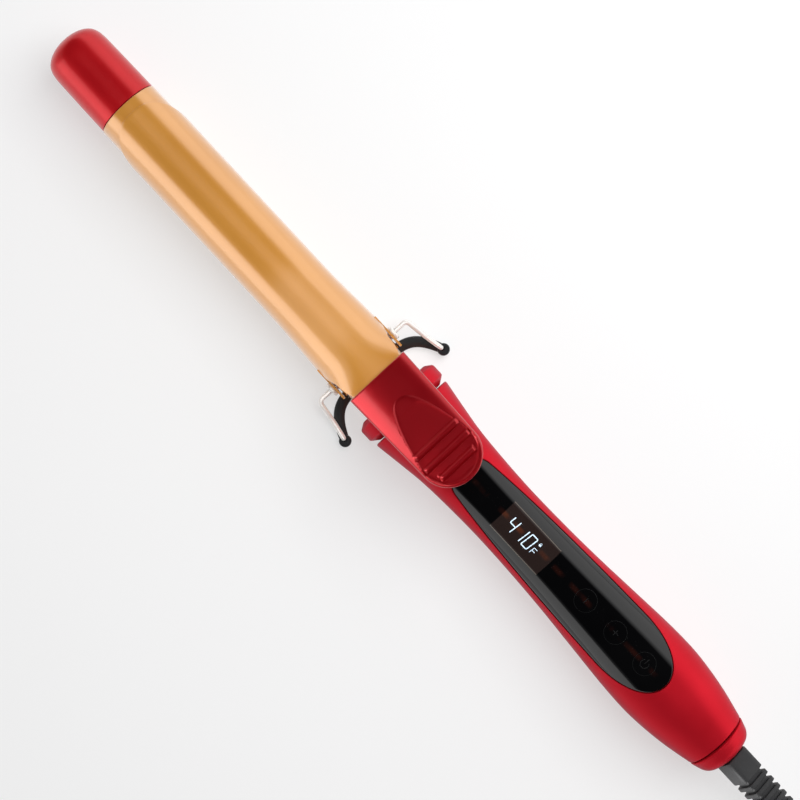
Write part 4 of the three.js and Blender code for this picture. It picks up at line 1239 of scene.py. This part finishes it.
def make_clamp_plate():
    stations = [*spaced(PLATE_FRONT_X, PLATE_FRONT_X - 6, 1.0),
                *spaced(PLATE_FRONT_X - 8, PLATE_RISE_X + 2, 4.0),
                *spaced(PLATE_RISE_X, 10, 0.8), *spaced(9, PLATE_BACK_X, 1.6)]
    columns = 64

    def skin(depth):
        grid = []
        for i, x in enumerate(stations):
            section = plate_section(x)
            # The front edge's curve fades out over the first rows.
            fade = 1 - smooth(PLATE_FRONT_X, PLATE_FRONT_X - 34, x)
            row = []
            for j in range(columns + 1):
                share = 2 * j / columns - 1
                angle = share * section["wrap"]
                back = PLATE_FRONT_DEPTH * fade * abs(share) ** 2.6
                row.append((x - back, (section["half"] - depth) * math.sin(angle),
                            section["top"] - depth
                            - (section["drop"] - depth) * (1 - math.cos(angle))))
            grid.append(row)
        return grid

    plate = sheet("clamp_jaw", skin(0), skin(PLATE_T))
    soften(plate, 0.18, 2, 60)
    for side in (1, -1):
        join(plate, make_ear(side))
    dress(plate, "gold_coating", "clamp", "clamp_plate")


RECESS = {"front": 0.7, "widest": -25.5, "back": -36.9, "half": 11.5, "depth": 1.7}
RIBS = ((-19.4, 10.3), (-25.1, 10.9), (-30.8, 8.4))  # place along the lever, half length
RIB_HALF = 1.3
RIB_HEIGHT = 1.5
LEVER_EDGE = 0.7


def lever_half(x):
    share = (LEVER_FRONT_X - x) / (LEVER_FRONT_X - LEVER_ROUND_X)
    if x >= LEVER_ROUND_X:
        return mix(LEVER_HALF, LEVER_REAR_HALF, share)
    t = (LEVER_ROUND_X - x) / (LEVER_ROUND_X - LEVER_END_X)
    return LEVER_REAR_HALF * math.sqrt(max(1 - t * t, 0.0001))


def lever_arch(y):
    return LEVER_ARCH * (1 - math.sqrt(1 - 0.96 * (y / LEVER_HALF) ** 2))


def recess_depth(x, y):
    """The thumb recess: a leaf with a blunt front, deepest along its middle, and its ribs."""
    front, back = RECESS["front"], RECESS["back"]
    if not back < x < front:
        return 0
    if x > RECESS["widest"]:
        t = (x - RECESS["widest"]) / (front - RECESS["widest"])
        reach = RECESS["half"] * (1 - t) ** 0.4
        ramp = min(1, ((1 - t) * 5) ** 0.5)
    else:
        t = (RECESS["widest"] - x) / (RECESS["widest"] - back)
        reach = RECESS["half"] * math.sqrt(1 - t * t)
        ramp = min(1, ((1 - t) * 6) ** 0.5)
    inside = 1 - (y / max(reach, 0.01)) ** 2
    if inside <= 0:
        return 0
    depth = RECESS["depth"] * inside ** 0.4 * ramp
    for rib_x, half in RIBS:
        off = abs(x - rib_x) / RIB_HALF
        past = max(abs(y) - (half - 1.3), 0) / 1.3
        if off < 1 and past < 1:
            depth -= RIB_HEIGHT * (1 - off * off) ** 0.6 * math.sqrt(1 - past * past)
    return depth


def make_lever():
    end = [LEVER_ROUND_X - (LEVER_ROUND_X - LEVER_END_X) * math.sin(i / 40 * math.pi / 2)
           for i in range(1, 41)]
    stations = [LEVER_FRONT_X - d for d in (0, 0.06, 0.18, 0.36, 0.6)]
    stations += [*spaced(LEVER_FRONT_X - 0.9, 1.6, 0.6), *spaced(1.3, LEVER_ROUND_X, 0.28), *end]
    edge = [(LEVER_FRONT_X, 0.0), (LEVER_FRONT_X, lever_half(LEVER_FRONT_X)),
            (LEVER_ROUND_X, lever_half(LEVER_ROUND_X)), *[(x, lever_half(x)) for x in end]]
    shares = [-1, -0.996, -0.985, -0.97, -0.95]
    shares = shares + [share * 0.93 for share in (2 * j / 84 - 1 for j in range(85))]
    shares += [-share for share in reversed(shares[:5])]

    def skin(depth):
        grid = []
        for x in stations:
            half = lever_half(x)
            row = []
            for share in shares:
                y = half * share
                z = lever_top(x) - depth - lever_arch(y)
                if not depth:
                    z -= recess_depth(x, y) + rounding(distance_to(edge, x, y), LEVER_EDGE)
                row.append((x, y, z))
            grid.append(row)
        return grid

    lever = sheet("thumb_lever", skin(0), skin(LEVER_T), 40)
    dress(lever, "lever_plastic", "clamp", "lever")


# ---------------------------------------------------------------- folding stand
GROOVE_GAP = 0.12  # round the wire's end, in the foot


def crossbar_x(y):
    return CROSSBAR_X - (CROSSBAR_X - FOOT_X) * (abs(y) / FOOT_Y) ** 5.5


def make_stand():
    foot_z = TABLE_Z + FOOT_R
    wire_end_z = foot_z + 1.9
    for name, side in SIDES:
        route = [
            (HINGE_X, 13, HINGE_Z), (HINGE_X, 16, HINGE_Z), (HINGE_X, 19, HINGE_Z),
            (HINGE_X - 0.1, 21.3, HINGE_Z - 0.05), (HINGE_X - 1.2, 22.5, HINGE_Z - 0.5),
            (HINGE_X - 3.4, 22.9, HINGE_Z - 1.3), (HINGE_X - 10, 24, HINGE_Z - 3.8),
            (FOOT_X + 0.2, FOOT_Y - 0.1, wire_end_z),
        ]
        route = [(x, side * y, z) for x, y, z in route]
        wire = tube(f"stand_leg_{name}", catmull(route, 8), WIRE_R)
        dress(wire, "chrome", "stand", f"stand_wire_{name}")

    rings = []
    count = 120
    for i in range(count + 1):
        y = mix(-FOOT_Y + 0.6, FOOT_Y - 0.6, i / count)
        share = abs(y) / FOOT_Y
        x = crossbar_x(y)
        z = mix(CROSSBAR_Z, foot_z, share**2)
        slope = (crossbar_x(y + 0.1) - crossbar_x(y - 0.1)) / 0.2
        length = math.hypot(slope, 1)
        half = mix(2.2, 1.85, share**8)
        ring = []
        for a, b in superellipse(half, 1.1, 2.8, 28):
            # A low ridge runs along the bar's top.
            ridge = 0.16 * math.exp(-((a / (0.34 * half)) ** 2)) if b > 0 else 0
            ring.append((x + a / length, y - slope / length * a, z + b * 0.93 + ridge))
        rings.append(ring)
    bar_piece = loft("stand_bar", rings)
    for side in (1, -1):
        top = foot_z + 2.2
        profile = rounded([(TABLE_Z, 0), (TABLE_Z, FOOT_R), (top, FOOT_R), (top, 0)], 0.7, 6)
        foot = turned("foot", profile, 56, "z", (FOOT_X, side * FOOT_Y, 0))
        join(bar_piece, foot)
        # The wire's end lies in a groove in the foot's top.
        run = [(HINGE_X - 6, 23.3, HINGE_Z - 2.3), (HINGE_X - 10, 24, HINGE_Z - 3.8),
               (FOOT_X - 0.3, FOOT_Y - 0.1, wire_end_z - 0.05)]
        run = [(x, side * y, z) for x, y, z in run]
        cut(bar_piece, tube("groove", catmull(run, 8), WIRE_R + GROOVE_GAP))
    dress(bar_piece, "stand_plastic", "stand", "stand_crossbar")


# ---------------------------------------------------------------- strain relief
def make_relief():
    width, height = RELIEF_SIZE
    block_end, pitch, ribs = -191.2, 3.5, 9
    rings = []
    tilt_cos, tilt_sin = math.cos(RELIEF_TILT), math.sin(RELIEF_TILT)

    def ring(x, scale, power=6.0):
        points = []
        for y, z in superellipse(width / 2 * scale, height / 2 * scale, power, 56):
            points.append((x, y * tilt_cos - z * tilt_sin, y * tilt_sin + z * tilt_cos))
        rings.append(points)

    ring(RELIEF_FRONT_X + 1.2, 0.78, 2.4)
    ring(RELIEF_FRONT_X + 0.02, 0.78, 2.4)
    for back, less in ((0, 0.08), (0.12, 0.03), (0.4, 0)):
        ring(RELIEF_FRONT_X - back, 1 - less)
    ring(block_end + 0.3, 1)
    ring(block_end + 0.05, 0.975)
    for i in range(ribs):
        x = block_end - i * pitch
        scale = 1 - 0.3 * smooth(4, ribs, i)
        neck = scale * 0.78
        for back, size in ((0.08, neck), (pitch / 2 - 0.05, neck), (pitch / 2, scale * 0.965),
                           (pitch / 2 + 0.18, scale), (pitch - 0.2, scale),
                           (pitch - 0.03, scale * 0.965)):
            ring(x - back, size)
    ring(RELIEF_END_X + 2.4, 0.66, 2.6)
    ring(RELIEF_END_X + 0.5, 0.645, 2.2)
    ring(RELIEF_END_X + 0.1, 0.62, 2.1)
    ring(RELIEF_END_X, 0.56, 2)
    dress(loft("cord_boot", rings), "cord_rubber", "swivel", "strain_relief")


make_handle()
make_collar()
make_rear_cap()
make_panel()
make_barrel()
make_hinge()
make_clamp_plate()
make_lever()
make_stand()
make_relief()
light_with_softboxes()


# ---------------------------------------------------------------- carried-over CAD nodes
CAD_FINISH = {
    "circuit_board": ["control_board"],
    "stand_plastic": ["display_module"],
    "copper": ["touch_sensor_minus", "touch_sensor_plus", "touch_sensor_power"],
    "screw_steel": ["thermal_fuse", "spring_rivet", "lever_rivet_front", "lever_rivet_rear"],
    "spring_steel": ["clamp_spring"],
    "aluminium": ["heat_spreader_upper", "heat_spreader_lower"],
    "ceramic": ["heater_element", "temperature_sensor", "barrel_insulator"],
    "wire_sleeve": ["heater_lead_live", "heater_lead_neutral"],
    "cord_rubber": ["swivel_ball"],
}
for material, names in CAD_FINISH.items():
    for name in names:
        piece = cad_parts[name]
        piece.data.materials.clear()
        piece.data.materials.append(MATERIALS[material])
